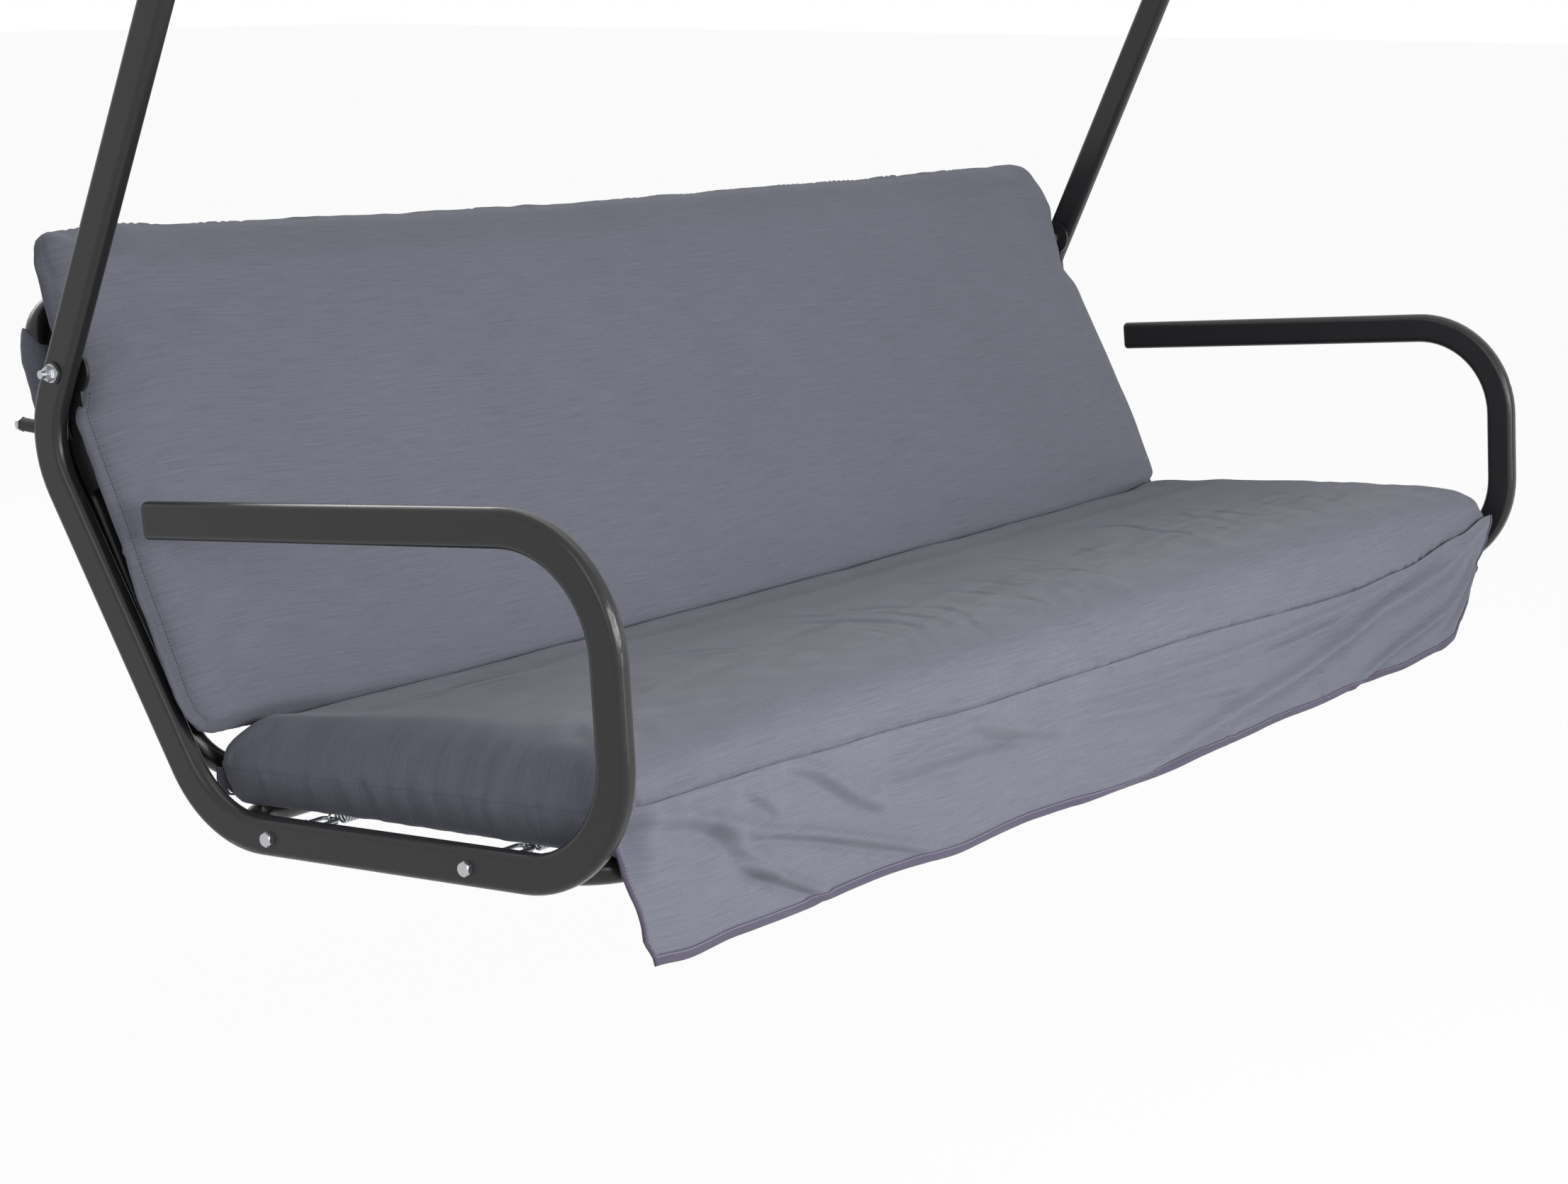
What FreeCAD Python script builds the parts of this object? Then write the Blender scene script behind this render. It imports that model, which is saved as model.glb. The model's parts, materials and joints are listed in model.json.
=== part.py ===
import FreeCAD, Part
import math
import os

from FreeCAD import Placement, Rotation, Vector

# Hung seat of a three-seat garden swing. Sizes are in millimetres.
# The frame's origin is the middle of the swing axis: X runs along the seat,
# the front of the seat faces -Y and Z is up. The seat itself is drawn level,
# from the front lower corner of its side frames, and then hung with its tilt.

# Driving dimensions: side frames
frame_spacing = 1780.0
tube_depth = 36.0
tube_width = 18.0
tube_corner = 7.0
tube_wall = 1.5
front_height = 306.0
arm_length = 556.0
arm_drop = 16.0
rail_length = 500.0
back_run = 195.0
back_rise = 362.0
hanger_lean = 28.0
hanger_length = 696.5
frame_bend = 110.0
hanger_bend = 95.0
seat_tilt = 3.7

# Caps in the open ends of the side frames
cap_height = 6.0
cap_round = 3.5
cap_plug = 12.0
plug_play = 0.2

# Swing pivots
pivot_to_end = 28.0
pivot_bolt = 8.0
pivot_play = 0.05
bush_barrel = 13.0
bush_depth = 8.0
bush_flange = 22.0
bush_flange_height = 2.0
bracket_play = 0.4
bracket_steel = 4.0
bracket_width = 32.0
bracket_rise = 38.0
bracket_bend = 8.0
stand_hole = 10.5

# Bolts and nuts
bolt_play = 0.2
m8 = 8.0
m8_flats = 13.0
m8_head = 5.3
m8_nut = 8.0
head_chamfer = 0.47
head_flare = 0.75
nut_hex_share = 0.8
nut_collar_share = 0.9
m8_flange = 18.0
m8_flange_height = 1.6
nut_play = 0.05
thread_end = 3.0
m6 = 6.0
m6_dome = 12.0
m6_dome_height = 3.8
m6_dome_round = 2.8
m6_flats = 10.0
m6_nut = 6.0
dome_washer = 16.0
washer_height = 1.5

# Seat frame, with its supports
seat_tube = 25.0
ring_wall = 1.5
front_tube_y = 38.0
seat_ring_depth = 467.0
ring_corner = 60.0
seat_bolt_front = 172.0
seat_bolt_rear = 420.0
brace_tube = 20.0
brace_x = 300.0
brace_drop = 6.0

# Springs and the wire mat that they stretch
spring_wire = 2.4
spring_radius = 6.5
spring_pitch = 4.1
spring_curls = 9
coil_extra_turn = 2.0 / 3.0
coil_start = -30.0
eye_start = 50.0
eye_end = 270.0
eye_radius = 6.0
eye_to_coil = 9.0
spring_height = 9.5
staple_wire = 4.0
staple_reach = 27.5
staple_width = 20.0
staple_bend = 4.0
hook_play = 0.3
mat_height = 3.0
mat_bar = 4.0
seat_mat_columns = 31
seat_mat_rows = 6
spring_column = 12
back_mat_columns = 27
back_mat_rows = 8

# Backrest frame and what holds it
back_tube = 22.0
backrest_lean = 25.0
back_behind = 17.0
back_bottom = 50.0
back_height = 495.0
foot_plate = 5.0
foot_plate_width = 24.0
foot_plate_x = 480.0
spacer_height = 3.0
spacer_diameter = 22.0
strap_steel = 4.0
strap_eye = 23.0
strap_half_width = 10.0
hanger_bolt_up = 74.0
tab_steel = 3.0
tab_low = 344.0
tab_length = 54.0
dome_spacing = 26.0
seat_play = 0.05

# Rear buffers
buffer_diameter = 13.0
buffer_length = 22.0
buffer_angle = 6.0

# Cushions and cloth
soft_play = 0.3
seat_cushion_width = 1730.0
seat_cushion_front = 5.0
seat_cushion_thickness = 76.0
back_cushion_width = 1734.0
back_cushion_low = 80.0
back_cushion_over_hood = 38.0
back_cushion_thickness = 54.0
cushion_crown = 8.0
cushion_draw_in = 5.0
cushion_shoulder = 42.0
cushion_end = 32.0
cushion_side_bow = 0.28
# How a cushion fills out from its end: steps of cushion_end, share of the draw-in, share of the thickness
cushion_stations = ((0.0, 0.0, 0.40), (0.3, 0.0, 0.72), (1.0, 0.2, 0.90), (4.0, 0.6, 1.0))
hood_cloth = 2.2
hood_behind = 105.0
hood_in_front = 70.0
hood_inset = 47.0
skirt_cloth = 2.0
skirt_drop = 150.0
skirt_folds = 11
skirt_wave_top = 0.8
skirt_wave_bottom = 7.0
tape_width = 12.0
tape_height = 3.0
tie_height = 16.0
tie_cloth = 1.6
tie_from_corner = 12.0

# Sizes that follow from the driving dimensions
X_AXIS = Vector(1, 0, 0)
Y_AXIS = Vector(0, 1, 0)
Z_AXIS = Vector(0, 0, 1)
side_x = frame_spacing / 2
inner_face = side_x - tube_width / 2
outer_face = side_x + tube_width / 2
ring_x = inner_face - seat_tube / 2
rear_tube_y = front_tube_y + seat_ring_depth
back_x = inner_face - spacer_height - strap_steel - back_tube / 2
back_top = back_bottom + back_height
lean_place = Placement(Vector(0, rail_length, 0), Rotation(X_AXIS, -backrest_lean))
up_hanger = Vector(0, -math.sin(math.radians(hanger_lean)), math.cos(math.radians(hanger_lean)))
hanger_corner = Vector(0, rail_length + back_run, back_rise)
pivot_point = hanger_corner + up_hanger * hanger_length
hang_turn = Rotation(X_AXIS, -seat_tilt)
hang_place = Placement(hang_turn.multVec(pivot_point) * -1, hang_turn)
coil_turns = spring_curls + coil_extra_turn
coil_length = spring_pitch * coil_turns
spring_length = coil_length + 2 * eye_to_coil
mat_gap = staple_reach + spring_length + eye_radius - spring_wire / 2 - hook_play - mat_bar

SIDES = {"left": -1, "right": 1}


def at_x(point, x):
    """The same point of the side view, at a place along the seat."""
    return Vector(x, point.y, point.z)


def bend_at(before, corner, after, radius):
    """Tangent arc that rounds one corner: its start, end, centre, axis and turn."""
    entry = (corner - before).normalize()
    leave = (after - corner).normalize()
    turn = entry.getAngle(leave)
    setback = radius * math.tan(turn / 2)
    inward = (leave - entry).normalize()
    centre = corner + inward * (radius / math.cos(turn / 2))
    return corner - entry * setback, corner + leave * setback, centre, entry.cross(leave), math.degrees(turn)


def route(corners, radii, closed=False):
    """First point and the runs and bends of a line through the corners."""
    count = len(corners)
    rounded = range(count) if closed else range(1, count - 1)
    bends = []
    for index, radius in zip(rounded, radii):
        after = corners[(index + 1) % count]
        bends.append(bend_at(corners[index - 1], corners[index], after, radius))
    first = corners[0]
    last = corners[-1]
    if closed:
        first = (bends[-1][1] + bends[0][0]) * 0.5
        last = first
    steps = []
    place = first
    for start, end, centre, axis, turn in bends:
        steps.append(("run", start - place))
        steps.append(("bend", centre, axis, turn))
        place = end
    steps.append(("run", last - place))
    return first, steps


def swept(face, steps):
    """Carries a section along the runs and bends and joins the pieces."""
    pieces = []
    for step in steps:
        if step[0] == "run":
            pieces.append(face.extrude(step[1]))
            face = face.translated(step[1])
        else:
            centre, axis, turn = step[1:]
            pieces.append(face.revolve(centre, axis, turn))
            face = face.rotated(centre, axis, turn)
    return pieces[0].fuse(pieces[1:]).removeSplitter()


def holed_face(wires):
    """Face inside the first wire, with the others as its holes."""
    return Part.Face(wires, "Part::FaceMakerBullseye")


def oval_wire(place, along, depth, width, corner):
    """Outline of the flat oval tube, its width along X, square to a direction."""
    across = X_AXIS.cross(along).normalize()
    edges = []
    quarters = ((1, 1, 0), (-1, 1, 90), (-1, -1, 180), (1, -1, 270))
    ends = []
    for side, end, angle in quarters:
        centre = place + across * (side * (depth / 2 - corner)) + X_AXIS * (end * (width / 2 - corner))
        points = []
        for part in (0, 45, 90):
            turn = math.radians(angle + part)
            points.append(centre + across * (corner * math.cos(turn)) + X_AXIS * (corner * math.sin(turn)))
        edges.append(Part.Arc(*points).toShape())
        ends.append((points[0], points[2]))
    for index in range(4):
        edges.append(Part.makeLine(ends[index][1], ends[(index + 1) % 4][0]))
    return Part.Wire(Part.__sortEdges__(edges))


def oval_face(place, along, wall=0.0, play=0.0):
    """Section of the side frames' tube: whole, hollow, or what plugs its bore."""
    if play:
        less = 2 * (tube_wall + play)
        return Part.Face(oval_wire(place, along, tube_depth - less, tube_width - less, tube_corner - tube_wall))
    outer = oval_wire(place, along, tube_depth, tube_width, tube_corner)
    if not wall:
        return Part.Face(outer)
    inner = oval_wire(place, along, tube_depth - 2 * wall, tube_width - 2 * wall, tube_corner - wall)
    return holed_face([outer, inner])


def round_face(place, along, diameter, wall=0.0):
    """Round section, whole or hollow."""
    outer = Part.Wire(Part.makeCircle(diameter / 2, place, along))
    if not wall:
        return Part.Face(outer)
    inner = Part.Wire(Part.makeCircle(diameter / 2 - wall, place, along))
    return holed_face([outer, inner])


def round_tube(corners, radii, diameter, wall=0.0, closed=False):
    """Round tube or wire bent through a list of corners."""
    first, steps = route(corners, radii, closed)
    return swept(round_face(first, steps[0][1], diameter, wall), steps)


def rod(start, along, length, diameter):
    """Round bar from a point."""
    return Part.makeCylinder(diameter / 2, length, start, along)


def washer(start, along, height, diameter, bore):
    """Flat ring from a point."""
    return rod(start, along, height, diameter).cut(rod(start, along, height, bore))


def hexagon(start, along, height, flats):
    """Six-sided prism, one corner pointing up."""
    along = Vector(along).normalize()
    side = along.cross(Z_AXIS if abs(along.z) < 0.9 else X_AXIS).normalize()
    up = side.cross(along)
    radius = flats / 2 / math.cos(math.pi / 6)
    points = []
    for index in range(7):
        turn = math.radians(60 * index)
        points.append(start + up * (radius * math.cos(turn)) + side * (radius * math.sin(turn)))
    return Part.Face(Part.makePolygon(points)).extrude(along * height)


def hex_bolt(seat, along, length, diameter, flats, head):
    """Hex bolt with its head's underside at the seat and its shank along a direction."""
    top = hexagon(seat - along * head, along, head, flats)
    crown = Part.makeCone(flats * head_chamfer, flats * head_flare, head, seat - along * head, along)
    return top.common(crown).fuse(rod(seat, along, length, diameter)).removeSplitter()


def lock_nut(start, along, height, diameter, flats, flange=0.0, flange_height=0.0):
    """Nut that starts at a seat, with a collar and, where asked, a flange."""
    body = hexagon(start, along, height * nut_hex_share, flats)
    collar = rod(start, along, height, flats * nut_collar_share)
    body = body.fuse(collar)
    if flange:
        body = body.fuse(rod(start, along, flange_height, flange))
    return body.cut(rod(start, along, height, diameter + 2 * nut_play)).removeSplitter()


def dome_bolt(seat, along, length):
    """Round-headed bolt with its head's underside at the seat."""
    head = rod(seat, along * -1, m6_dome_height, m6_dome)
    rim = [edge for edge in head.Edges if (edge.CenterOfMass - seat).dot(along) < -0.9 * m6_dome_height]
    return head.makeFillet(m6_dome_round, rim).fuse(rod(seat, along, length, m6)).removeSplitter()


def save(name, solids):
    """Writes one sub-part that hangs with the seat."""
    shape = Part.makeCompound(solids) if len(solids) > 1 else solids[0]
    shape = shape.copy()
    shape.Placement = hang_place.multiply(shape.Placement)
    export(name, shape)


def export(name, shape):
    """Writes one sub-part in the part's own frame."""
    shape.exportStep("parts/" + name + ".step")
    print(name, "solids", len(shape.Solids), "valid", shape.isValid(), "volume", round(shape.Volume))


def leaned(shape):
    """Turns a shape drawn upright into the plane of the backrest."""
    moved = shape.copy()
    moved.Placement = lean_place.multiply(moved.Placement)
    return moved


# Side frames

def side_corners(x):
    """Corners of one side frame, from the top of its hanger to the end of its armrest."""
    arm_start = Vector(0, 0, front_height)
    arm_end = Vector(0, arm_length, front_height - arm_drop)
    back = (arm_start - arm_end).normalize()
    flat = [
        pivot_point + up_hanger * (pivot_to_end - cap_height),
        hanger_corner,
        Vector(0, rail_length, 0),
        Vector(0, 0, 0),
        arm_start,
        arm_end + back * cap_height,
    ]
    return [at_x(point, x) for point in flat]


def side_tube(x, wall):
    """The bent tube of one side frame, hollow or filled."""
    first, steps = route(side_corners(x), [hanger_bend, frame_bend, frame_bend, frame_bend])
    return swept(oval_face(first, steps[0][1], wall), steps)


def hanger_bolt_point(x):
    """Middle of the bolt that holds the backrest to the hanger."""
    return at_x(hanger_corner + up_hanger * hanger_bolt_up, x)


def side_frame(side):
    """One side frame with its holes."""
    x = side * side_x
    frame = side_tube(x, tube_wall)
    across = Vector(x - tube_width, 0, 0)
    length = 2 * tube_width
    cuts = [
        rod(across + pivot_point, X_AXIS, length, bush_barrel + 2 * nut_play),
        rod(across + hanger_bolt_point(0), X_AXIS, length, m8 + bolt_play),
        rod(across + Vector(0, seat_bolt_front, 0), X_AXIS, length, m8 + bolt_play),
        rod(across + Vector(0, seat_bolt_rear, 0), X_AXIS, length, m8 + bolt_play),
        rod(buffer_foot(x), buffer_axis(), tube_depth, m8 + bolt_play),
    ]
    return frame.cut(cuts)


def end_cap(corner, before):
    """Plastic cap on an open end of the tube, with its plug in the bore."""
    out = (corner - before).normalize()
    lid = oval_face(corner, out).extrude(out * cap_height)
    rim = [edge for edge in lid.Edges if (edge.CenterOfMass - corner).dot(out) > 0.99 * cap_height]
    lid = lid.makeFillet(cap_round, rim)
    plug = oval_face(corner, out, play=plug_play).extrude(out * -cap_plug)
    return lid.fuse(plug).removeSplitter()


def make_side_frames():
    """Both side frames and their end caps."""
    top_caps = []
    for name, side in SIDES.items():
        save("side_frame_" + name, [side_frame(side)])
        corners = side_corners(side * side_x)
        save("armrest_end_cap_" + name, [end_cap(corners[-1], corners[-2])])
        top_caps.append(end_cap(corners[0], corners[1]))
    save("hanger_end_caps", top_caps)


# Swing pivots

def bushes(side):
    """The two flanged bushes of one hanger."""
    shapes = []
    for facing in (-1, 1):
        out = Vector(facing, 0, 0)
        face = at_x(pivot_point, side * side_x) + out * (tube_width / 2)
        body = rod(face - out * bush_depth, out, bush_depth, bush_barrel)
        body = body.fuse(rod(face, out, bush_flange_height, bush_flange))
        bore = rod(face - out * bush_depth, out, 2 * bush_depth, pivot_bolt + 2 * pivot_play)
        shapes.append(body.cut(bore).removeSplitter())
    return shapes


def bracket_half():
    """From the middle of a hanging bracket to the inside of its ears."""
    return tube_width / 2 + bush_flange_height + bracket_play


def hanging_bracket(side):
    """Bent steel bracket that the hanger's bolt goes through and the stand's bolt holds."""
    middle = side * side_x
    half = bracket_half() + bracket_steel / 2
    top = bracket_rise + bracket_steel / 2
    corners = [
        Vector(middle - half, 0, 0),
        Vector(middle - half, 0, top),
        Vector(middle + half, 0, top),
        Vector(middle + half, 0, 0),
    ]
    first, steps = route(corners, [bracket_bend, bracket_bend])
    wide = bracket_width / 2
    thick = bracket_steel / 2
    outline = [
        first + Vector(-thick, -wide, 0),
        first + Vector(thick, -wide, 0),
        first + Vector(thick, wide, 0),
        first + Vector(-thick, wide, 0),
        first + Vector(-thick, -wide, 0),
    ]
    bracket = swept(Part.Face(Part.makePolygon(outline)), steps)
    for facing in (-1, 1):
        ear = Vector(middle + facing * half - thick, 0, 0)
        bracket = bracket.fuse(rod(ear, X_AXIS, bracket_steel, bracket_width))
    long_hole = rod(Vector(middle - bracket_width, 0, 0), X_AXIS, 2 * bracket_width, pivot_bolt + bolt_play)
    stand = rod(Vector(middle, 0, bracket_rise - bracket_steel), Z_AXIS, 3 * bracket_steel, stand_hole)
    return bracket.cut([long_hole, stand]).removeSplitter()


def make_pivots():
    """Bushes on the seat, and the brackets, bolts and nuts that carry it."""
    save("pivot_bushes", bushes(-1) + bushes(1))
    reach = bracket_half() + bracket_steel
    bolts = []
    nuts = []
    for name, side in SIDES.items():
        export("hanging_bracket_" + name, hanging_bracket(side))
        inward = Vector(-side, 0, 0)
        head_seat = Vector(side * (side_x + reach), 0, 0)
        nut_seat = Vector(side * (side_x - reach), 0, 0)
        length = 2 * reach + m8_nut + thread_end
        bolts.append(hex_bolt(head_seat, inward, length, pivot_bolt, m8_flats, m8_head))
        nuts.append(lock_nut(nut_seat, inward, m8_nut, pivot_bolt, m8_flats))
    export("pivot_bolts", Part.makeCompound(bolts))
    export("pivot_nuts", Part.makeCompound(nuts))


# Seat frame

def seat_ring(wall):
    """Round tube bent into the seat's rectangle, hollow or filled."""
    corners = [
        Vector(-ring_x, front_tube_y, 0),
        Vector(ring_x, front_tube_y, 0),
        Vector(ring_x, rear_tube_y, 0),
        Vector(-ring_x, rear_tube_y, 0),
    ]
    return round_tube(corners, [ring_corner] * 4, seat_tube, wall, closed=True)


def make_seat_frame(filled_ring):
    """The seat's rectangle and its two braces."""
    ring = seat_ring(ring_wall)
    for side in SIDES.values():
        for y in (seat_bolt_front, seat_bolt_rear):
            hole = rod(Vector(side * ring_x - seat_tube, y, 0), X_AXIS, 2 * seat_tube, m8 + bolt_play)
            ring = ring.cut(hole)
    save("seat_frame", [ring])
    braces = []
    for x in (-brace_x, brace_x):
        start = Vector(x, front_tube_y, -brace_drop)
        brace = round_tube([start, start + Y_AXIS * seat_ring_depth], [], brace_tube, ring_wall)
        braces.append(brace.cut(filled_ring))
    save("seat_braces", braces)


def make_seat_bolts():
    """Bolts through the side rails into the seat frame, and their nuts."""
    bolts = []
    nuts = []
    for side in SIDES.values():
        inward = Vector(-side, 0, 0)
        for y in (seat_bolt_front, seat_bolt_rear):
            seat = Vector(side * outer_face, y, 0)
            nut_seat = Vector(side * (inner_face - seat_tube), y, 0)
            length = tube_width + seat_tube + m8_nut + thread_end
            bolts.append(hex_bolt(seat, inward, length, m8, m8_flats, m8_head))
            nuts.append(lock_nut(nut_seat, inward, m8_nut, m8, m8_flats))
    save("seat_frame_bolts", bolts)
    save("seat_frame_nuts", nuts)


# Springs and mats

def biarc(start, start_way, end, end_way):
    """Two tangent arcs that join two points, each with its direction."""
    gap = end - start
    both = start_way + end_way
    fall = 2 * (1 - start_way.dot(end_way))
    lean = gap.dot(both)
    if fall < 1e-6:
        reach = gap.dot(gap) / (4 * gap.dot(end_way))
    else:
        reach = (-lean + math.sqrt(lean * lean + fall * gap.dot(gap))) / fall
    near = start + start_way * reach
    far = end - end_way * reach
    middle = (near + far) * 0.5
    return [arc_by_tangents(start, near, middle), arc_by_tangents(middle, far, end)]


def arc_by_tangents(start, corner, end):
    """Arc from start to end whose end tangents meet at the corner."""
    middle = (start + end) * 0.5
    rise = (corner - middle).Length
    half = (end - start).Length / 2
    if rise < 1e-6:
        return Part.LineSegment(start, end)
    radius = half * (corner - start).Length / rise
    sagitta = radius - math.sqrt(max(radius * radius - half * half, 0.0))
    return Part.Arc(start, middle + (corner - middle).normalize() * sagitta, end)


def eye_arcs():
    """Hooked eye in the XZ plane about the origin, ending at its foot on the way to the coil."""
    points = []
    for quarter in range(5):
        turn = math.radians(eye_start + (eye_end - eye_start) * quarter / 4)
        points.append(Vector(eye_radius * math.cos(turn), 0, eye_radius * math.sin(turn)))
    return [Part.Arc(*points[0:3]), Part.Arc(*points[2:5])]


def coil_nodes():
    """Points and directions of the coil at each quarter turn."""
    first = math.radians(coil_start)
    total = 2 * math.pi * coil_turns
    count = round(total / (math.pi / 2))
    nodes = []
    for index in range(count + 1):
        turn = first + total * index / count
        x = eye_to_coil + coil_length * index / count
        point = Vector(x, spring_radius * math.cos(turn), spring_radius * math.sin(turn))
        way = Vector(coil_length / total, -spring_radius * math.sin(turn), spring_radius * math.cos(turn))
        nodes.append((point, way.normalize()))
    return nodes


def spring_curves():
    """Middle line of a spring along X, from its first eye to its last."""
    nodes = coil_nodes()
    foot = Vector(0, 0, -eye_radius)
    half_turn = Placement(Vector(spring_length, 0, 0), Rotation(Z_AXIS, 180))
    curves = eye_arcs()
    curves += biarc(foot, X_AXIS, *nodes[0])
    for (start, start_way), (end, end_way) in zip(nodes, nodes[1:]):
        curves += biarc(start, start_way, end, end_way)
    last, last_way = nodes[-1]
    curves += biarc(last, last_way, half_turn.multVec(foot), X_AXIS)
    for arc in reversed(eye_arcs()):
        points = []
        for share in (1.0, 0.5, 0.0):
            step = arc.FirstParameter + share * (arc.LastParameter - arc.FirstParameter)
            points.append(half_turn.multVec(arc.value(step)))
        curves.append(Part.Arc(*points))
    return curves


def print_least_gap(curves):
    """Measures the least gap of a spring's wire to itself on points, and prints it."""
    points = []
    lengths = []
    travelled = 0.0
    for curve in curves:
        for index in range(6):
            share = index / 6.0
            point = curve.value(curve.FirstParameter + share * (curve.LastParameter - curve.FirstParameter))
            if points:
                travelled += (point - points[-1]).Length
            points.append(point)
            lengths.append(travelled)
    least = None
    for first in range(len(points)):
        for second in range(first + 1, len(points)):
            if lengths[second] - lengths[first] > 4 * spring_wire:
                distance = (points[second] - points[first]).Length
                if least is None or distance < least:
                    least = distance
    print("least gap of a spring to itself", round(least - spring_wire, 2))


def spring_solid():
    """One tension spring along X with its eyes, its first eye about the origin."""
    curves = spring_curves()
    print_least_gap(curves)
    path = Part.Wire([curve.toShape() for curve in curves])
    start = curves[0].value(curves[0].FirstParameter)
    way = Vector(*curves[0].tangent(curves[0].FirstParameter)[0])
    ring = Part.Wire(Part.makeCircle(spring_wire / 2, start, way))
    return path.makePipeShell([ring], True, False)


def staple():
    """Wire staple that an eye hangs on: its legs reach back to the middle of a tube."""
    bar = -(eye_radius - spring_wire / 2 - hook_play - staple_wire / 2)
    corners = [
        Vector(-staple_reach, -staple_width / 2, 0),
        Vector(bar, -staple_width / 2, 0),
        Vector(bar, staple_width / 2, 0),
        Vector(-staple_reach, staple_width / 2, 0),
    ]
    return round_tube(corners, [staple_bend] * 2, staple_wire)


def spring_places():
    """Where each row's springs start, in the seat's level frame, by the row's name."""
    middle_y = (front_tube_y + rear_tube_y) / 2
    column = (2 * seat_mat_half_width() - mat_bar) / seat_mat_columns
    row = (2 * seat_mat_half_depth() - mat_bar) / seat_mat_rows
    side_y = (seat_mat_rows - 1) / 2 * row
    places = {}
    for name, side in SIDES.items():
        turn = Rotation(Z_AXIS, 0 if side < 0 else 180)
        eye = side * (ring_x - staple_reach)
        for end, y in (("front", middle_y - side_y), ("rear", middle_y + side_y)):
            places["seat_spring_" + name + "_" + end] = [Placement(Vector(eye, y, spring_height), turn)]
    for name, y, angle in (
        ("seat_springs_front", front_tube_y + staple_reach, 90),
        ("seat_springs_rear", rear_tube_y - staple_reach, -90),
    ):
        row_places = []
        for index in (-1, 0, 1):
            x = index * spring_column * column
            row_places.append(Placement(Vector(x, y, spring_height), Rotation(Z_AXIS, angle)))
        places[name] = row_places
    return places


def seat_mat_half_width():
    """Half of the seat mat's width."""
    return ring_x - mat_gap


def seat_mat_half_depth():
    """Half of the seat mat's depth."""
    return seat_ring_depth / 2 - mat_gap


def grid(half_width, low, high, columns, rows):
    """Flat net in the XY plane: one holed face, given its thickness."""
    outline = Part.makePolygon([
        Vector(-half_width, low, 0),
        Vector(half_width, low, 0),
        Vector(half_width, high, 0),
        Vector(-half_width, high, 0),
        Vector(-half_width, low, 0),
    ])
    column = (2 * half_width - mat_bar) / columns
    row = (high - low - mat_bar) / rows
    wires = [outline]
    for across in range(columns):
        for along in range(rows):
            left = -half_width + mat_bar + across * column
            near = low + mat_bar + along * row
            hole = Part.makePlane(column - mat_bar, row - mat_bar, Vector(left, near, 0))
            wires.append(hole.OuterWire)
    return holed_face(wires).extrude(Z_AXIS * mat_height)


def make_springs(filled_ring):
    """Springs, the staples on the seat frame and the mat between them."""
    spring = spring_solid()
    hook = staple()
    staples = []
    for name, places in spring_places().items():
        springs = []
        for place in places:
            springs.append(placed(spring, place))
            staples.append(placed(hook, place).cut(filled_ring))
        save(name, springs)
    pieces = []
    for shape in staples:
        pieces += shape.Solids
    save("spring_staples", pieces)
    middle_y = (front_tube_y + rear_tube_y) / 2
    half = seat_mat_half_depth()
    mat = grid(seat_mat_half_width(), middle_y - half, middle_y + half, seat_mat_columns, seat_mat_rows)
    save("seat_mat", [mat.translated(Vector(0, 0, spring_height - mat_height / 2))])


def placed(shape, place):
    """A copy of a shape at a place."""
    moved = shape.copy()
    moved.Placement = place.multiply(moved.Placement)
    return moved


# Backrest

def back_ring(wall):
    """Round tube bent into the backrest's rectangle, drawn upright."""
    corners = [
        Vector(-back_x, back_behind, back_bottom),
        Vector(back_x, back_behind, back_bottom),
        Vector(back_x, back_behind, back_top),
        Vector(-back_x, back_behind, back_top),
    ]
    return round_tube(corners, [ring_corner] * 4, back_tube, wall, closed=True)


def dome_heights():
    """Heights of a tab's two bolts, drawn upright."""
    middle = tab_low + tab_length / 2
    return [middle - dome_spacing / 2, middle + dome_spacing / 2]


def foot_plate_solid(x, back_filled, seat_filled):
    """Flat plate welded between the backrest's lower tube and the seat frame."""
    low = Vector(x, rear_tube_y, 0)
    high = lean_place.multVec(Vector(x, back_behind, back_bottom))
    way = (high - low).normalize()
    side = X_AXIS.cross(way) * (foot_plate_width / 2)
    points = [low - side, low + side, high + side, high - side, low - side]
    plate = Part.Face(Part.makePolygon(points)).extrude(X_AXIS * foot_plate)
    return plate.cut([back_filled, seat_filled])


def make_back_frame(filled_ring):
    """The backrest's rectangle, its welded mat and the plates at its foot."""
    ring = back_ring(ring_wall)
    for side in SIDES.values():
        for height in dome_heights():
            start = Vector(side * back_x, back_behind - back_tube, height)
            ring = ring.cut(rod(start, Y_AXIS, 2 * back_tube, m6 + bolt_play))
    save("back_frame", [leaned(ring)])
    inside = back_tube / 2 + seat_play
    mat = grid(back_x - inside, back_bottom + inside, back_top - inside, back_mat_columns, back_mat_rows)
    upright = Placement(Vector(0, back_behind + mat_height / 2, 0), Rotation(X_AXIS, 90))
    corner_room = back_ring(0.0)
    save("back_mat", [leaned(placed(mat, upright).cut(corner_room))])
    back_filled = leaned(corner_room)
    plates = []
    for x in (-foot_plate_x, -foot_plate / 2, foot_plate_x - foot_plate):
        plates.append(foot_plate_solid(x, back_filled, filled_ring))
    save("back_foot_plates", plates)


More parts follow.
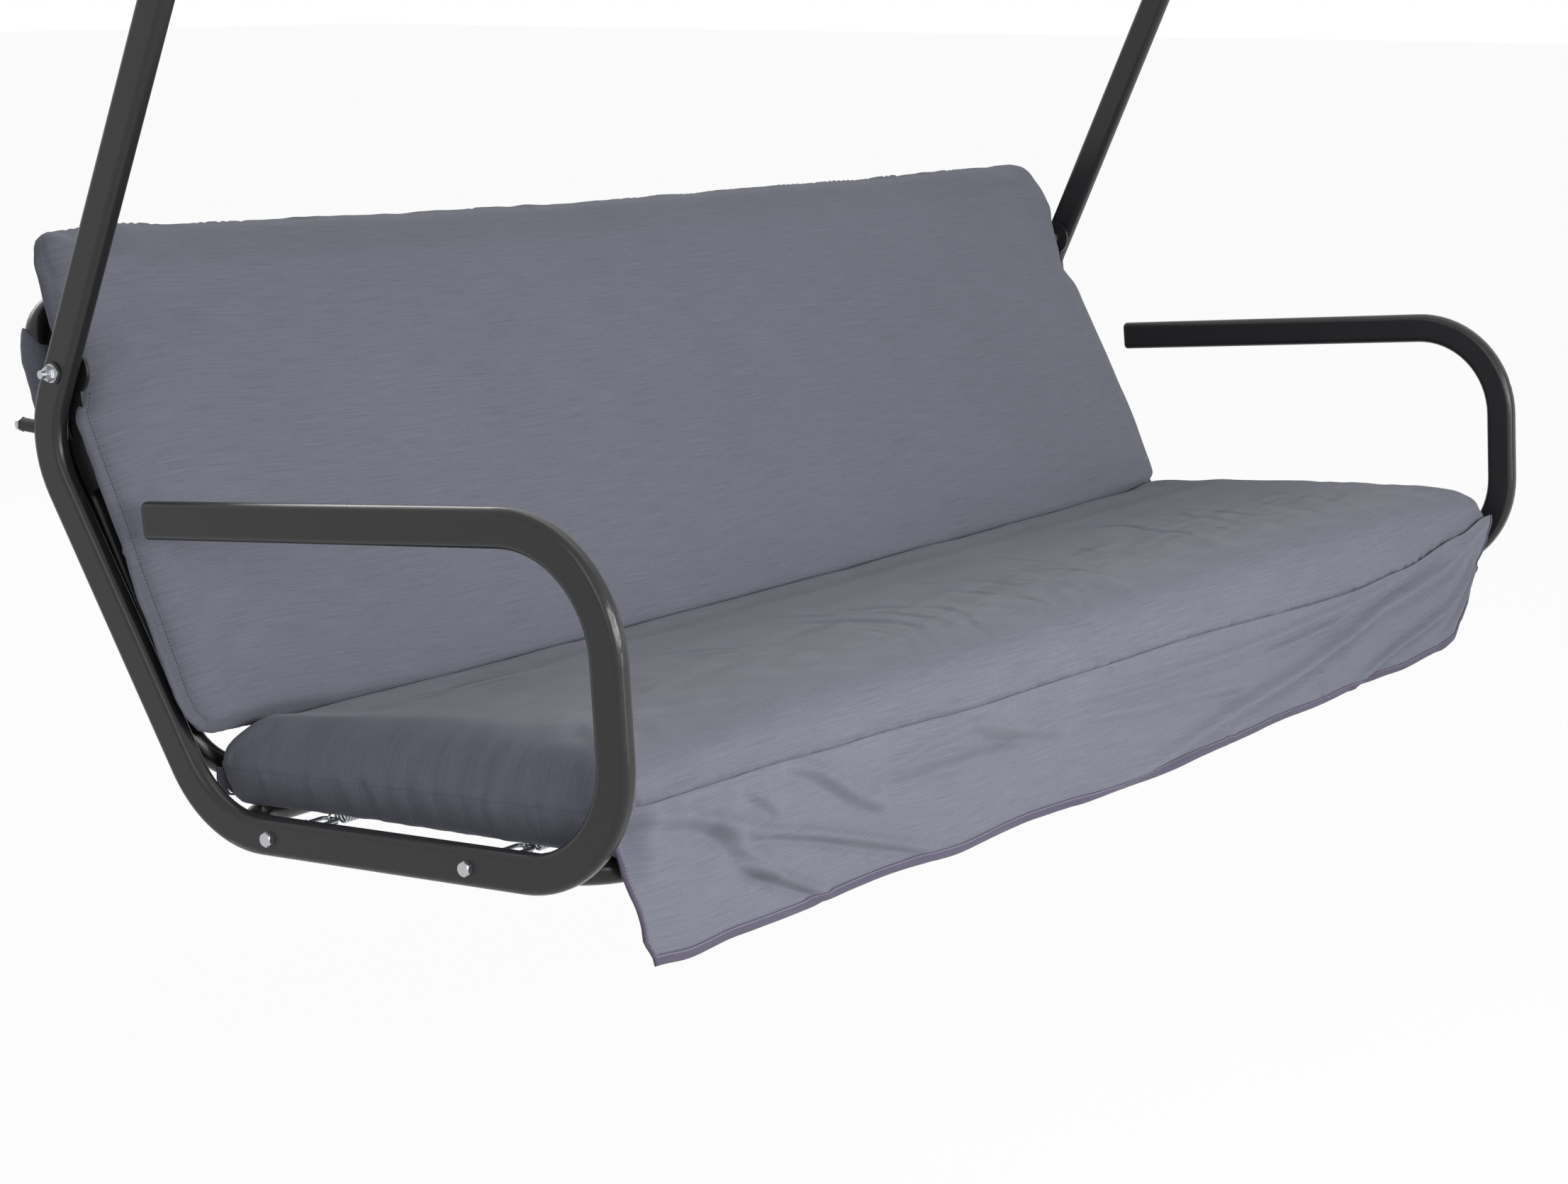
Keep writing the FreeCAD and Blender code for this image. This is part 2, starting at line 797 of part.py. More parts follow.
def strap_bracket(side):
    """Steel strap from the hanger's bolt to a tab on the front of the backrest's tube."""
    near = side * (back_x + back_tube / 2)
    start_x = min(near, near + side * strap_steel)
    bolt = hanger_bolt_point(start_x)
    front = back_behind - back_tube / 2
    foot = lean_place.multVec(Vector(start_x, front - strap_half_width, tab_low + tab_length / 2))
    way = (foot - bolt).normalize()
    wide = X_AXIS.cross(way) * strap_half_width
    points = [bolt - wide, bolt + wide, foot + wide, foot - wide, bolt - wide]
    strap = Part.Face(Part.makePolygon(points)).extrude(X_AXIS * strap_steel)
    tab_x = min(near + side * strap_steel, near - side * back_tube)
    tab_width = back_tube + strap_steel
    tab = Part.makeBox(tab_width, tab_steel, tab_length, Vector(tab_x, front - tab_steel, tab_low))
    cheek_depth = 2 * strap_half_width
    cheek = Part.makeBox(strap_steel, cheek_depth, tab_length, Vector(start_x, front - cheek_depth, tab_low))
    pieces = [rod(bolt, X_AXIS, strap_steel, 2 * strap_eye), leaned(tab), leaned(cheek)]
    bracket = strap.fuse(pieces)
    holes = [rod(bolt - X_AXIS * strap_steel, X_AXIS, 3 * strap_steel, m8 + bolt_play)]
    for height in dome_heights():
        start = Vector(side * back_x, front - 2 * tab_steel, height)
        holes.append(leaned(rod(start, Y_AXIS, 3 * tab_steel, m6 + bolt_play)))
    return bracket.cut(holes).removeSplitter()


def make_back_brackets():
    """Brackets between hangers and backrest with their bolts, nuts, washers and spacers."""
    bolts = []
    nuts = []
    washers = []
    spacers = []
    for name, side in SIDES.items():
        save("back_bracket_" + name, [strap_bracket(side)])
        out = Vector(side, 0, 0)
        seat = hanger_bolt_point(side * (inner_face - spacer_height - strap_steel))
        length = strap_steel + spacer_height + tube_width + washer_height + m8_nut + 2 * thread_end
        bolts.append(hex_bolt(seat, out, length, m8, m8_flats, m8_head))
        hole = m8 + bolt_play
        spacers.append(washer(hanger_bolt_point(side * inner_face), out * -1, spacer_height, spacer_diameter, hole))
        face = hanger_bolt_point(side * outer_face)
        washers.append(washer(face, out, washer_height, spacer_diameter, hole))
        nut_seat = face + out * washer_height
        nuts.append(lock_nut(nut_seat, out, m8_nut, m8, m8_flats, m8_flange, m8_flange_height))
    save("back_bracket_bolts", bolts)
    save("back_bracket_nuts", nuts)
    save("back_bracket_washers", washers)
    save("back_bracket_spacers", spacers)


def make_dome_bolts():
    """Round-headed bolts through the brackets' tabs and the backrest's tube."""
    bolts = []
    rings = []
    nuts = []
    front = back_behind - back_tube / 2 - tab_steel
    back = back_behind + back_tube / 2
    for side in SIDES.values():
        for height in dome_heights():
            seat = Vector(side * back_x, front - washer_height, height)
            length = washer_height + tab_steel + back_tube + m6_nut + thread_end
            bolts.append(leaned(dome_bolt(seat, Y_AXIS, length)))
            rings.append(leaned(washer(seat, Y_AXIS, washer_height, dome_washer, m6 + bolt_play)))
            nut_seat = Vector(side * back_x, back, height)
            nuts.append(leaned(lock_nut(nut_seat, Y_AXIS, m6_nut, m6, m6_flats)))
    save("back_dome_bolts", bolts)
    save("back_dome_washers", rings)
    save("back_dome_nuts", nuts)


# Rear buffers

def buffer_axis():
    """Direction of the buffers, square to the bend that they stand on."""
    turn = math.radians(buffer_angle)
    return Vector(0, math.cos(turn), math.sin(turn))


def buffer_foot(x):
    """Point under a buffer on the middle line of the hanger's bend."""
    corners = side_corners(x)
    centre = bend_at(corners[0], corners[1], corners[2], hanger_bend)[2]
    return centre + buffer_axis() * hanger_bend


def make_buffers():
    """Rubber buffers behind the side frames, with the bolts through them."""
    sleeves = []
    bolts = []
    for side in SIDES.values():
        x = side * side_x
        out = buffer_axis()
        foot = buffer_foot(x)
        reach = tube_depth / 2 + buffer_length
        sleeve = washer(foot, out, reach, buffer_diameter, m8 + bolt_play)
        sleeves.append(sleeve.cut(side_tube(x, 0.0)))
        bolts.append(hex_bolt(foot + out * reach, out * -1, reach + tube_depth / 4, m8, m8_flats, m8_head))
    save("rear_buffers", sleeves)
    save("rear_buffer_bolts", bolts)


# Cushions and cloth

def bowed(start, end, bow):
    """Arc between two points of the side view, bowed to the left of the way between them."""
    if abs(bow) < 0.01:
        return Part.makeLine(start, end)
    way = (end - start).normalize()
    side = X_AXIS.cross(way)
    return Part.Arc(start, (start + end) * 0.5 + side * bow, end).toShape()


def cushion_section(x, depth, thickness, draw_in, full):
    """Outline of a cushion at one place along it: full is 1 in its middle, less near its ends."""
    seam = thickness / 2
    near = draw_in
    far = depth - draw_in
    rise = seam * full
    shoulder = cushion_shoulder
    front = Vector(x, near, seam)
    back = Vector(x, far, seam)
    top_front = Vector(x, near + shoulder, seam + rise)
    top_back = Vector(x, far - shoulder, seam + rise)
    low_front = Vector(x, near + shoulder, seam - rise)
    low_back = Vector(x, far - shoulder, seam - rise)
    bow = cushion_side_bow * rise
    crown = cushion_crown * full
    return Part.Wire([
        bowed(front, low_front, -bow),
        bowed(low_front, low_back, 0.0),
        bowed(low_back, back, -bow),
        bowed(back, top_back, -bow),
        bowed(top_back, top_front, -crown),
        bowed(top_front, front, -bow),
    ])


def cushion(width, depth, thickness):
    """Padded cushion lying flat from Y 0, with a crown and drawn-in sides."""
    half = width / 2
    ends = [(half - steps * cushion_end, drawn, full) for steps, drawn, full in cushion_stations]
    stations = [(-place, drawn, full) for place, drawn, full in ends]
    stations.append((0.0, 1.0, 1.0))
    stations += reversed(ends)
    wires = []
    for place, drawn, full in stations:
        wires.append(cushion_section(place, depth, thickness, drawn * cushion_draw_in, full))
    return Part.makeLoft(wires, True, True)


def seat_cushion_back():
    """Where the seat cushion ends, just in front of the ties on the backrest's lower tube."""
    tube = lean_place.multVec(Vector(0, back_behind, back_bottom))
    return tube.y - back_tube / 2 - tie_cloth - 2 * soft_play


def seat_cushion_low():
    """Underside of the seat cushion, on the springs."""
    return spring_height + spring_radius + spring_wire / 2 + soft_play


def make_cushions():
    """Seat and back cushions and the back cushion's hood."""
    depth = seat_cushion_back() - seat_cushion_front
    seat = cushion(seat_cushion_width, depth, seat_cushion_thickness)
    save("seat_cushion", [seat.translated(Vector(0, seat_cushion_front, seat_cushion_low()))])
    hood_top = back_top + back_tube / 2 + soft_play + hood_cloth
    length = hood_top + back_cushion_over_hood - back_cushion_low
    back = cushion(back_cushion_width, length, back_cushion_thickness)
    face = back_behind - back_tube / 2 - hood_cloth - 2 * soft_play
    upright = Placement(Vector(0, face, back_cushion_low), Rotation(X_AXIS, 90))
    save("back_cushion", [leaned(placed(back, upright))])
    save("back_cushion_hood", [leaned(hood())])


def hood():
    """Pocket of cloth behind the back cushion, over the backrest's top tube."""
    inner = back_tube / 2 + soft_play
    middle = inner + hood_cloth / 2
    half = back_cushion_width / 2 - hood_inset
    centre = Vector(-half, back_behind, back_top)
    front = Vector(-half, back_behind - middle, back_top - hood_in_front)
    thin = hood_cloth / 2
    outline = Part.makePolygon([
        front + Vector(0, -thin, 0),
        front + Vector(2 * half, -thin, 0),
        front + Vector(2 * half, thin, 0),
        front + Vector(0, thin, 0),
        front + Vector(0, -thin, 0),
    ])
    steps = [
        ("run", Vector(0, 0, hood_in_front)),
        ("bend", centre, X_AXIS * -1, 180.0),
        ("run", Vector(0, 0, -hood_behind)),
    ]
    return swept(Part.Face(outline), steps)


def skirt_place(z):
    """Middle of the skirt's cloth at one height: it hangs straight down from its seam."""
    seam = seat_cushion_front - soft_play - skirt_wave_top - skirt_cloth / 2
    return seam + (skirt_top() - z) * math.tan(math.radians(seat_tilt))


def skirt_strip(z, half, cloth):
    """Wavy strip of cloth cut at one height: arcs bowed to the front and back by turns."""
    y = skirt_place(z) - cloth / 2
    wave = skirt_wave(z)
    step = 2 * half / skirt_folds
    front = []
    back = []
    for index in range(skirt_folds):
        left = Vector(-half + index * step, y, z)
        right = left + X_AXIS * step
        bow = wave if index % 2 else -wave
        middle = (left + right) * 0.5 + Y_AXIS * bow
        front.append(Part.Arc(left, middle, right).toShape())
        shift = Y_AXIS * cloth
        back.append(Part.Arc(right + shift, middle + shift, left + shift).toShape())
    right_end = Part.makeLine(Vector(half, y, z), Vector(half, y + cloth, z))
    left_end = Part.makeLine(Vector(-half, y + cloth, z), Vector(-half, y, z))
    return Part.Wire(front + [right_end] + list(reversed(back)) + [left_end])


def skirt_wave(z):
    """Depth of the skirt's folds at one height."""
    top = skirt_top()
    return skirt_wave_top + (skirt_wave_bottom - skirt_wave_top) * (top - z) / skirt_drop


def skirt_top():
    """Height of the seam that the skirt hangs from."""
    return seat_cushion_low() + seat_cushion_thickness / 2


def skirt_band(high, low, half, cloth):
    """Hanging band of the skirt between two heights."""
    wires = [skirt_strip(z, half, cloth) for z in (high, low)]
    return Part.makeLoft(wires, True, True)


def skirt_edge(side, inner):
    """Tape down one end of the skirt."""
    top = skirt_top()
    y = skirt_place(top) - tape_height / 2
    left = min(side * inner, side * (inner + tape_width))
    section = Part.makePlane(tape_width, tape_height, Vector(left, y, top))
    return section.extrude(Vector(0, skirt_place(top - skirt_drop) - skirt_place(top), -skirt_drop))


def make_skirt():
    """The skirt in front of the seat and the tape around its edge."""
    half = seat_cushion_width / 2 - tape_width
    top = skirt_top()
    low = top - skirt_drop
    save("seat_skirt", [skirt_band(top, low + tape_width + soft_play, half, skirt_cloth)])
    bands = [skirt_band(low + tape_width, low, half, tape_height)]
    for side in SIDES.values():
        bands.append(skirt_edge(side, half + soft_play))
    save("skirt_binding", bands)


def make_ties():
    """Cloth ties of the seat cushion around the ends of the backrest's lower tube."""
    ties = []
    inner = back_tube + 2 * soft_play
    outer = inner + 2 * tie_cloth
    room = mat_height + 2 * soft_play
    for side in SIDES.values():
        outer_end = side * (back_x - ring_corner - tie_from_corner)
        left = min(outer_end, outer_end - side * tie_height)
        band = washer(Vector(left, back_behind, back_bottom), X_AXIS, tie_height, outer, inner)
        slot = Part.makeBox(tie_height, room, outer, Vector(left, back_behind - room / 2, back_bottom))
        ties.append(leaned(band.cut(slot)))
    save("cushion_ties", ties)


def main():
    """Builds and writes every sub-part."""
    os.makedirs("parts", exist_ok=True)
    filled_ring = seat_ring(0.0)
    make_side_frames()
    make_pivots()
    make_seat_frame(filled_ring)
    make_seat_bolts()
    make_springs(filled_ring)
    make_back_frame(filled_ring)
    make_back_brackets()
    make_dome_bolts()
    make_buffers()
    make_cushions()
    make_skirt()
    make_ties()


main()
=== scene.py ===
import bmesh
import bpy
import json
import math
from mathutils import Matrix, Vector, noise


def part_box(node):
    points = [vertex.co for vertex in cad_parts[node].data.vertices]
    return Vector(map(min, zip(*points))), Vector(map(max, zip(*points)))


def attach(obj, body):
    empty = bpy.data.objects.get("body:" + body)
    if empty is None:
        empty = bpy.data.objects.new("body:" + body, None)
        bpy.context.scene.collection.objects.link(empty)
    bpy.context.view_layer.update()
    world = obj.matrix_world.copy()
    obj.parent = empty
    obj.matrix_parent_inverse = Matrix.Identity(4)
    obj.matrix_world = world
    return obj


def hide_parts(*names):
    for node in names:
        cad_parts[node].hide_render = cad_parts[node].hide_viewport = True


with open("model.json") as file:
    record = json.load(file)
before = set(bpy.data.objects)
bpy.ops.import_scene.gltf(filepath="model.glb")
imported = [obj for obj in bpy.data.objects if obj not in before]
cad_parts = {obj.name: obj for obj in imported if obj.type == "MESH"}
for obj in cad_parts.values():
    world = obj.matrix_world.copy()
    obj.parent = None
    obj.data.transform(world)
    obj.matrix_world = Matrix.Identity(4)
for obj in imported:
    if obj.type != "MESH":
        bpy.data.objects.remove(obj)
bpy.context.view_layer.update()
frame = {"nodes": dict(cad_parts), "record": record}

# Driving dimensions, in metres: the seat's own level frame, as the construction draws it
SEAT_TILT = math.radians(3.7)
RAIL_LENGTH = 0.500
BACK_RUN = 0.195
BACK_RISE = 0.362
HANGER_LEAN = math.radians(28.0)
HANGER_LENGTH = 0.6965
BACK_X = 0.863
BACK_BEHIND = 0.017
BACK_BOTTOM = 0.050
BACK_TOP = 0.545
BACKREST_LEAN = math.radians(25.0)
FRONT_TUBE_Y = 0.038
REAR_TUBE_Y = 0.505

# Cushions: their seams' outlines, seen flat, from the left front corner, and their heights
SEAT_HALF = 0.865
SEAT_FRONT = 0.005
SEAT_DEPTH = 0.518
SEAT_LOW = 0.0130
SEAT_SEAM = 0.0535
SEAT_TOP = (
    (0.0, 0.102), (0.05, 0.105), (0.12, 0.106), (0.25, 0.104), (0.35, 0.101), (0.43, 0.096),
    (0.518, 0.092),
)
SEAT_LEFT = ((0.0, -0.866), (0.26, -0.862), (0.518, -0.867))
SEAT_RIGHT = ((0.0, 0.866), (0.26, 0.862), (0.518, 0.867))
SEAT_NEAR = ((-0.866, 0.001), (0.0, -0.001), (0.866, 0.001))
SEAT_FAR = ((-0.866, 0.520), (0.0, 0.517), (0.866, 0.520))
BACK_HALF = 0.886
BACK_LOW = 0.080
BACK_LENGTH = 0.518
BACK_REAR = 0.0032
BACK_THICK = 0.054
BACK_STITCH = 0.018
BACK_FULL = ((0.0, 0.0525), (0.12, 0.056), (0.35, 0.057), (0.518, 0.050))
BACK_LEFT = (
    (0.0, -0.893), (0.04, -0.898), (0.136, -0.896), (0.234, -0.891), (0.325, -0.888), (0.350, -0.870),
    (0.385, -0.867), (0.415, -0.873), (0.44, -0.869), (0.47, -0.862), (0.518, -0.855),
)
BACK_RIGHT = (
    (0.0, 0.878), (0.04, 0.882), (0.136, 0.885), (0.31, 0.885), (0.343, 0.869), (0.383, 0.884),
    (0.411, 0.890), (0.437, 0.903), (0.46, 0.902), (0.485, 0.895), (0.518, 0.887),
)
BACK_NEAR = (
    (-0.90, 0.003), (-0.80, 0.001), (-0.70, -0.008), (-0.55, -0.015), (0.0, -0.016), (0.60, -0.014),
    (0.80, -0.006), (0.88, 0.003),
)
BACK_FAR = (
    (-0.86, 0.523), (-0.80, 0.5255), (-0.75, 0.5285), (-0.66, 0.520), (-0.50, 0.515), (-0.31, 0.508),
    (-0.07, 0.503), (0.19, 0.500), (0.49, 0.497), (0.87, 0.496),
)
PAD_ROLL = 0.040
ROLL_STEPS = 7
PAD_SPACING = 0.010
CORNER_FULL = 4.0
STUFFING_PUSH = 4.0
STUFFING_STEPS = 20
STUFFING_REACH = 0.0045
SEAM_SLACK = -0.05
SLACK_REACH = 0.035
SEWN_GAP = 0.00001
STUFFED_CLOTH = {
    "quality": 5, "mass": 0.2, "tension_stiffness": 12.0, "compression_stiffness": 6.0,
    "shear_stiffness": 4.0, "bending_stiffness": 0.4, "use_pressure": True,
    "uniform_pressure_force": STUFFING_PUSH, "vertex_group_mass": "seam",
    "vertex_group_shrink": "slack", "shrink_min": 0.0, "shrink_max": SEAM_SLACK,
}
END_ZONE = (0.90, 0.06)
DENT_ZONE = (0.50, 0.48)
LOWER_PANEL = 2.0
END_SHIFT = 1.0

# Cloth: puckers have a seed, reach, height and pitch, waves a height, size and seed, zones a start and width
FINE_PITCH = 2.3
FINE_SHARE = 0.6
SEAT_PUCKERS = (1.0, 0.018, 0.0024, 0.015)
SEAT_LOW_PUCKERS = (5.0, 0.018, 0.0046, 0.020)
SEAT_WAVES = ((0.0018, 0.16, 3.0), (0.0006, 0.045, 4.0))
CREASE_REACH = 4.0
CREASE_RIDGE = 0.6
CREASE_RIDGE_PLACE = 1.5
SEAT_CREASE_TAIL = 2.5
CREASE_BEND_X = (0.016, 0.060, 51.0)
CREASE_BEND_Y = (0.016, 0.060, 52.0)
CREASE_LEAST = 0.60
CREASE_UNEVEN = (0.9, 0.050, 53.0)
SEAT_RUMPLES = (0.0016, 0.026, 54.0)
RUMPLE_ACROSS = (0.45, 0.6)
RUMPLE_ALONG = (-0.25, 1.0)
RUMPLE_ZONE = (-0.30, 0.12)
SEAM_FORWARD = 0.0032
SEAM_FORWARD_REACH = 0.007
SEAM_FRONT_ZONE = (0.01, 0.04)
SEAM_END_ZONE = (0.80, 0.05)
SEAM_PINCH = 0.0006
SEAM_PINCH_REACH = 0.0015
SAG_DEPTH = 0.10
BACK_PUCKERS = (11.0, 0.020, 0.0018, 0.060)
BACK_REAR_PUCKERS = (15.0, 0.020, 0.0018, 0.060)
BACK_WAVES = ((0.0022, 0.22, 8.0), (0.0005, 0.05, 9.0))
BACK_STITCH_DEEP = 0.0008
BACK_STITCH_WIDE = 0.003

# Skirt: the front seam's sag below the line that it hangs from, and its free edges, all measured down it
SEAM_SAG = (
    (-0.867, -0.007), (-0.70, -0.0055), (-0.553, -0.0003), (-0.30, 0.0085), (0.0, 0.012), (0.471, 0.0265),
    (0.60, 0.0215), (0.765, 0.0033), (0.842, -0.010),
)
SKIRT_LEFT = ((0.0, -0.864), (0.16, -0.874), (0.5, -0.868), (0.8, -0.856), (1.0, -0.842))
SKIRT_RIGHT = (
    (0.0, 0.857), (0.28, 0.858), (0.37, 0.864), (0.54, 0.861), (0.70, 0.848), (0.86, 0.827), (1.0, 0.812),
)
SKIRT_HEM = (
    (-0.840, 0.138), (-0.80, 0.141), (-0.739, 0.137), (-0.611, 0.140), (-0.498, 0.139), (-0.352, 0.148),
    (-0.10, 0.151), (0.172, 0.151), (0.307, 0.147), (0.411, 0.151), (0.60, 0.148), (0.70, 0.139),
    (0.740, 0.134), (0.78, 0.116), (0.829, 0.092), (0.852, 0.080),
)
SKIRT_CREASES = (
    (((-0.855, 0.003), (-0.800, 0.013), (-0.765, 0.025), (-0.724, 0.041), (-0.690, 0.056)), 0.0085, 0.0090),
    (((-0.768, 0.022), (-0.752, 0.036), (-0.731, 0.055), (-0.705, 0.073), (-0.675, 0.094)), 0.0090, 0.0100),
    (((-0.735, 0.071), (-0.690, 0.091), (-0.640, 0.113), (-0.592, 0.134)), 0.0048, 0.0104),
    (((-0.725, 0.043), (-0.620, 0.070), (-0.520, 0.101), (-0.415, 0.134)), 0.0052, 0.0104),
    (((-0.655, -0.008), (-0.600, 0.018), (-0.560, 0.044), (-0.500, 0.071)), 0.0080, 0.0090),
    (((-0.716, 0.006), (-0.690, 0.022), (-0.668, 0.040)), 0.0067, 0.0054),
    (((-0.540, 0.040), (-0.440, 0.026), (-0.330, 0.022)), 0.0060, 0.0059),
    (((-0.190, 0.073), (-0.330, 0.060), (-0.420, 0.0545), (-0.500, 0.057)), 0.0065, 0.0062),
    (((-0.354, 0.020), (-0.250, 0.050), (-0.160, 0.068)), 0.0083, 0.0072),
    (((-0.150, 0.148), (0.106, 0.121), (0.319, 0.096), (0.462, 0.080), (0.553, 0.057),
      (0.684, 0.039), (0.845, 0.000)), 0.0085, 0.0155),
    (((-0.181, 0.037), (0.187, 0.046), (0.458, 0.040), (0.763, 0.010)), 0.0060, 0.0081),
    (((0.480, 0.150), (0.601, 0.112), (0.698, 0.088), (0.848, 0.040)), 0.0056, 0.0131),
    (((0.680, 0.132), (0.770, 0.092), (0.848, 0.056)), 0.0045, 0.0077),
    (((-0.180, 0.057), (0.082, 0.076), (0.227, 0.092)), 0.0067, 0.0054),
    (((0.250, 0.064), (0.430, 0.056), (0.640, 0.026)), 0.0053, 0.0059),
    (((0.399, 0.111), (0.418, 0.145)), 0.0053, 0.0049),
    (((0.156, 0.116), (0.186, 0.145)), 0.0053, 0.0045),
)
SEAT_CREASES = (
    (((-0.240, 0.290), (-0.190, 0.190), (-0.205, 0.110), (-0.300, 0.020)), 0.0063, 0.0032),
    (((-0.285, 0.285), (-0.232, 0.190), (-0.246, 0.106), (-0.335, 0.022)), 0.0056, 0.0030),
    (((-0.330, 0.270), (-0.274, 0.180), (-0.290, 0.096), (-0.372, 0.024)), 0.0060, 0.0030),
    (((-0.375, 0.250), (-0.320, 0.170), (-0.336, 0.089), (-0.410, 0.018)), 0.0056, 0.0022),
    (((-0.080, 0.310), (-0.024, 0.220), (-0.036, 0.130), (-0.095, 0.050)), 0.0070, 0.0030),
    (((-0.150, 0.260), (-0.082, 0.170), (-0.112, 0.066), (-0.180, 0.004)), 0.0060, 0.0030),
    (((-0.060, 0.250), (-0.006, 0.160), (-0.045, 0.060), (-0.130, 0.000)), 0.0063, 0.0025),
    (((0.020, 0.240), (0.074, 0.152), (0.032, 0.052), (-0.050, 0.002)), 0.0060, 0.0022),
    (((0.330, 0.360), (0.386, 0.272), (0.342, 0.157), (0.230, 0.048)), 0.0063, 0.0035),
    (((0.385, 0.345), (0.438, 0.260), (0.395, 0.147), (0.285, 0.047)), 0.0056, 0.0030),
    (((0.440, 0.335), (0.490, 0.255), (0.450, 0.154), (0.340, 0.050)), 0.0056, 0.0028),
    (((0.490, 0.315), (0.533, 0.235), (0.486, 0.125), (0.390, 0.034)), 0.0063, 0.0028),
    (((0.560, 0.290), (0.602, 0.200), (0.548, 0.090), (0.460, 0.014)), 0.0060, 0.0022),
    (((0.640, 0.310), (0.686, 0.225), (0.642, 0.120), (0.570, 0.034)), 0.0063, 0.0018),
    (((-0.560, 0.330), (-0.490, 0.260), (-0.430, 0.222), (-0.396, 0.150)), 0.0060, 0.0030),
    (((-0.530, 0.290), (-0.466, 0.206), (-0.424, 0.150), (-0.440, 0.080)), 0.0060, 0.0022),
    (((-0.760, 0.400), (-0.690, 0.384), (-0.610, 0.370), (-0.555, 0.310)), 0.0060, 0.0032),
    (((-0.710, 0.430), (-0.650, 0.410), (-0.570, 0.395), (-0.520, 0.340)), 0.0056, 0.0025),
    (((-0.640, 0.470), (-0.575, 0.448), (-0.520, 0.420), (-0.500, 0.350)), 0.0052, 0.0022),
    (((0.150, 0.320), (0.208, 0.225), (0.168, 0.112), (0.090, 0.034)), 0.0066, 0.0022),
    (((0.080, 0.360), (0.130, 0.280), (0.100, 0.180), (0.040, 0.110)), 0.0063, 0.0018),
    (((-0.300, 0.130), (-0.232, 0.092), (-0.252, 0.038), (-0.310, 0.004)), 0.0052, 0.0018),
)
SKIRT_CURL = ((0.0, 0.012), (0.022, 0.021), (0.055, 0.012), (0.090, 0.0))
SKIRT_DROP = 0.150
SKIRT_SEAM_Y = 0.0029
SKIRT_SEAM_Z = 0.0555
SKIRT_TUCK = -0.0006
SKIRT_STANDS = 0.0008
SKIRT_SWELLS = 0.0014
SKIRT_WAVES = ((0.006, 9.0, 0.8), (0.004, 17.0, 2.1))
SKIRT_FULL = 0.06
SKIRT_END = 0.016
SKIRT_END_ZONE = (0.70, 0.14)
SKIRT_CURL_ZONE = (0.842, 0.030)
SKIRT_GATHERS = (21.0, 0.030, 0.0032, 0.020)
GATHER_FADE = 0.006
GATHER_LEAST = 0.35
GATHER_ZONE = (0.45, 0.35)
FOLD_FADE = 0.015
SWELL_FADE = 0.009
SKIRT_RUMPLES = (0.0020, 0.09, 22.0)
RUMPLE_STRETCH = 1.6
SKIRT_FINE_RUMPLES = (0.0006, 0.035, 23.0)
SKIRT_CLOTH = 0.0010
SKIRT_COLUMNS = 432
SKIRT_ROWS = 56
TAPE_WIDTH = 0.0095
TAPE_SIDE = 0.42
TAPE_LIFT = 0.0013
TAPE_CROWN = 1.15
TAPE_EDGE = 0.0006
TAPE_CLOTH = 0.0007
TAPE_RUN = 0.006
TAPE_ACROSS = (0.0, 0.006, 0.012, 0.0125, 0.013, 0.019, 0.025)
TAPE_SIDE_STEPS = 24
TAPE_HEM_STEPS = 288

# Hood
HOOD_HALF = 0.820
HOOD_FLARE = 0.858
HOOD_RADIUS = 0.0124
HOOD_FRONT = 0.070
HOOD_BEHIND = 0.105
HOOD_SLOPE = 0.12
HOOD_SLOPE_FADE = 0.06
HOOD_FLARE_FADE = 0.05
HOOD_FLARE_POWER = 6
HOOD_LOOSE = (0.0035, 0.09, 31.0)
HOOD_LOOSE_RUN = 0.85
HOOD_LOOSE_FADE = 0.08
HOOD_HEM = 0.004
HOOD_HEM_PACE = 31.0
HOOD_CLOTH = 0.0012
HOOD_COLUMNS = 160
HOOD_ROWS = 30

# Mats, ties and sleeves
SEAT_TUBE = 0.022
SPRING_HEIGHT = 0.0095
MAT_BORDER = 0.004
MAT_WIRE = 0.0028
WIRE_SIDES = 8
WIRE_CROSSING = 0.42
SEAT_MAT_COLUMNS = 31
SEAT_MAT_ROWS = 6
BACK_MAT_COLUMNS = 27
BACK_MAT_ROWS = 8
TIE_X = 0.783
TIE_RADIUS = 0.0124
TIE_WIDTH = 0.010
TIE_CLOTH = 0.0010
TIE_RING = 12
TIE_TURNS = (-0.004, 0.008)
TIE_FACING = (0.59, 0.81)
TIE_TAPER = 0.35
TIE_LAYERS = (0.0, 0.011)
TIE_ENDS = (-0.006, 0.010)
TIE_END_DROPS = ((-0.004, -0.016), (0.006, -0.026))
TIE_END_GAP = 0.001
TIE_END_SLANT = 0.002
RING_STEPS = 2
LINE_STEPS = 6
RIBBON_ROWS = 2
TIE_PATH = (
    (0.861, 0.517, 0.051), (0.858, 0.522, 0.036), (0.850, 0.526, 0.022), (0.828, 0.533, 0.018),
    (0.791, 0.5365, 0.0245),
)
SLEEVE_TOP = 0.524
SLEEVE_HIGH = 0.086
SLEEVE_RIM = 0.026
SLEEVE_RADIUS = 0.0127
SLEEVE_LOOSE = 0.009
SLEEVE_START = math.radians(-55.0)
SLEEVE_TURN = math.radians(290.0)
SLEEVE_RIM_TURN = 1.9
SLEEVE_SWELL_TURN = 0.35
SLEEVE_LIP = 0.003
SLEEVE_LIP_FADE = 0.010
SLEEVE_RUMPLES = (0.0012, 0.014, 41.0)
SLEEVE_RUMPLE_RUN = 0.01
SLEEVE_CLOTH = 0.0010
SLEEVE_COLUMNS = 40
SLEEVE_ROWS = 16
RING_CORNER = 0.060

